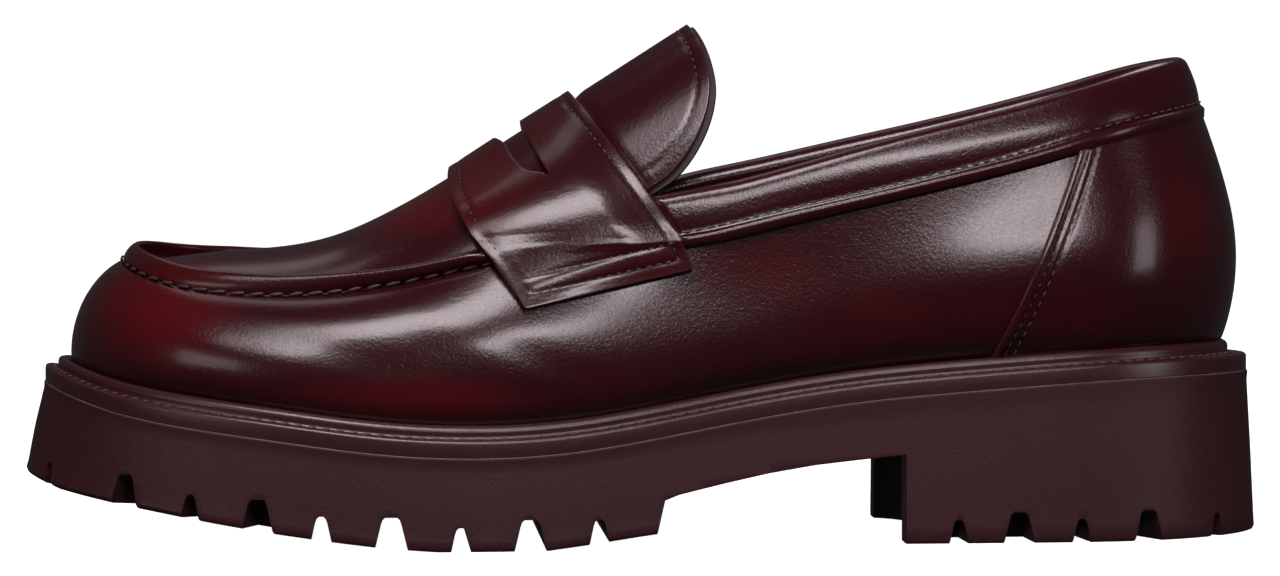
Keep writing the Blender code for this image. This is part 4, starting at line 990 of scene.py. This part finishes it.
def solePiece():
    at = np.arange(rings * sole["perRow"]) / sole["perRow"]
    out = outward(at)
    top, spread = margin(out), flare(out)
    low = top + spread
    plan = [(low - 1.0 * mm, 0.0, 0.0), (low - 0.3 * mm, 0.0, 0.25), (low, 0.0, 1.0)]
    plan += [(top + spread * (1 - 0.9 * v if v < 0.5 else 1.1 - 1.1 * v), v, 0) for v in np.linspace(0.12, 0.94, 9)]
    plan += [(top + 0.3 * mm, 1.0, -0.4), (top + 0.28 * mm, 1.0, -0.15),
             (top + 0.1 * mm, 1.0, 0.02), (top - 0.6 * mm, 1.0, 0)]
    levels = []
    for offset, share, extra in plan:
        p = edgeRing(at, offset, 0)
        p[:, 2] = underside(p[:, 0]) * (1 - share) + deck(p[:, 0]) * share + extra * mm
        levels.append(p)
    sheet = np.stack(levels, 1)
    n, cols = sheet.shape[:2]
    index = grid(n, cols)
    faces = quads(index, True)
    for k in (0, cols - 1):
        for i in range(n // 2):
            keys = (index[i, k], index[i + 1, k], index[(n - i - 1) % n, k], index[(n - i) % n, k])
            keys = tuple(dict.fromkeys(int(v) for v in (keys if k else keys[::-1])))
            if len(keys) > 2:
                faces.append(keys)
    piece = addPiece("outsole_rubber_body", sheet, faces, [soleLook])
    reach, below = sole["across"], -sole["below"]
    line = [(-along(x), height(z)) for x, z in sole["arch"]]
    arch = bar((0, 0), (0, 1), -reach, reach, [(line[0][0] + sole["archOver"], below), *line, (line[-1][0], below)])
    bowX, bowY = along(sole["bowAt"][0]) - sole["bowBack"], across(sole["bowAt"][1])
    bow = [(bowX + sole["breast"] * math.cos(t), bowY * math.sin(t)) for t in np.radians(np.arange(0, 360, 7.5))]
    breast = [[(x, y, z) for x, y in bow] for z in (below, line[-1][1] - sole["overlap"])]
    rows = []
    for i in range(-2, 3):
        x = along(sole["middleBar"]) + i * sole["pitch"] * mm
        rows.append(bar((x, 0), (0, 1), -reach, reach, notch(sole["wide" if i % 2 else "narrow"], underside(x))))
    edge, places = last["weltMargin"] + last["sideFlare"], [(0.0, True), (17.0, True)]
    for outer in (True, False):
        places += [(ringAt(along(x), outer, edge), k % 2 == 0) for k, x in enumerate(sole["toePockets"])]
        places += [(ringAt(along(x), outer, edge), k % 2 == 1) for k, x in enumerate(sole["heelPockets"])]
    pockets = []
    for ring, broad in places:
        spot, way = edgeRing(ring, edge, 0)[:2], outward(ring)[:2]
        pockets.append(bar(spot, way, -sole["pocket"], sole["beyond"],
                           notch(sole["wide" if broad else "narrow"], underside(spot[0]))))
    helpers = [cutter(name, prisms) for name, prisms in (
        ("archCut", [arch]), ("breastCut", [breast]), ("barCut", rows), ("pocketCut", pockets))]
    for helper in helpers:
        change(piece, helper.name, "BOOLEAN", operation="DIFFERENCE", object=helper)
    for bevelled in (False, True):
        graph = bpy.context.evaluated_depsgraph_get()
        mesh = bpy.data.meshes.new_from_object(piece.evaluated_get(graph))
        piece.modifiers.clear()
        piece.data = mesh
        mesh.shade_smooth()
        mesh.set_sharp_from_angle(angle=math.radians(32))
        if not bevelled:
            change(piece, "rounded", "BEVEL", width=sole["rounding"], segments=2, angle_limit=math.radians(38))
    for helper in helpers:
        bpy.data.objects.remove(helper)
    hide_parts("outsole")


solePiece()
print("outsole made")
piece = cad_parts["insole"]
for k in range(len(piece.material_slots)):
    piece.material_slots[k].material = sockLook


# Studio: pale sweep, soft lights, the photograph's camera; lengths in metres, angles in degrees
stage = {"glow": 1.04, "wide": 5.0, "back": 3.0, "bend": 1.0, "top": 4.0, "air": (0.95, 0.96, 1.0, 1),
         "airGlow": 0.045, "lampColour": (1.0, 0.90, 0.925), "lens": 139.08, "sensor": 36, "eyeTurn": 3.6,
         "eyePitch": 2.4, "eyeReach": 1.15, "aim": 0.0565}

# name, target in mm, turn, rise, reach, size, power
lamps = (("overhead", (-45, -38, 55), -10, 54, 1.1, (0.46, 0.40), 7.3),
         ("quarterBox", (84, -32, 72), 7, 25.5, 1.0, (0.26, 0.12), 1.75),
         ("toeBox", (-100, -38, 42), -46, 18, 1.0, (0.5, 0.3), 0.9),
         ("heelBox", (115, -30, 60), 52, 8, 1.0, (0.26, 0.5), 1.3),
         ("tongueBox", (5, -30, 100), -44, 49, 1.1, (0.2, 0.26), 0.5),
         ("behind", (0, 0, 60), 170, 50, 1.4, (1.2, 0.3), 0.9),
         ("innerToe", (-40, 30, 60), -150, 66, 1.4, (0.5, 0.3), 0.5),
         ("innerHeel", (60, 30, 60), 150, 50, 1.4, (0.5, 0.3), 1.6))


def towards(azimuth, rise):
    turn, up = math.radians(azimuth), math.radians(rise)
    return Vector((math.sin(turn) * math.cos(up), -math.cos(turn) * math.cos(up), math.sin(up)))


def aim(thing, place, ahead):
    thing.location = place
    thing.rotation_euler = ahead.to_track_quat("-Z", "Y").to_euler()


def studio():
    look = Look("pale_floor", Emission_Strength=stage["glow"])
    look.finish(Base_Color=(0.8, 0.8, 0.8), Roughness=0.8, Emission_Color=(1.0, 1.0, 1.0))
    wide, back, bend = stage["wide"], stage["back"], stage["bend"]
    profile = [(-wide, 0.0), (back, 0.0), *((back + bend * math.sin(a), bend - bend * math.cos(a))
                                            for a in np.radians(np.linspace(6, 90, 15))), (back + bend, stage["top"])]
    points = [(x, y, z) for x in (-wide, wide) for y, z in profile]
    n = len(profile)
    mesh = newMesh("sweep", points, [], [(i, i + n, i + n + 1, i + 1) for i in range(n - 1)])
    mesh.materials.append(look.material)
    mesh.shade_smooth()
    sweep = put("sweep", mesh)
    sweep.visible_glossy = sweep.visible_diffuse = False
    world = bpy.data.worlds.new("studio")
    bpy.context.scene.world = world
    world.use_nodes = True
    air = world.node_tree.nodes["Background"].inputs
    air["Color"].default_value, air["Strength"].default_value = stage["air"], stage["airGlow"]
    for name, target, azimuth, rise, reach, size, power in lamps:
        lamp = bpy.data.lights.new(name, "AREA")
        lamp.shape, lamp.size, lamp.size_y = "RECTANGLE", *size
        lamp.energy, lamp.color = power, stage["lampColour"]
        way = towards(azimuth, rise)
        aim(put(name, lamp), Vector(target) * mm + reach * way, -way)
    eye = bpy.data.cameras.new("eye")
    eye.lens, eye.sensor_width = stage["lens"], stage["sensor"]
    way = towards(-stage["eyeTurn"], stage["eyePitch"])
    camera = put("eye", eye)
    aim(camera, Vector((-middle[0], -middle[1], stage["aim"])) + way * stage["eyeReach"], -way)
    bpy.context.scene.camera = camera
    bpy.context.scene.view_settings.view_transform = "Standard"


studio()
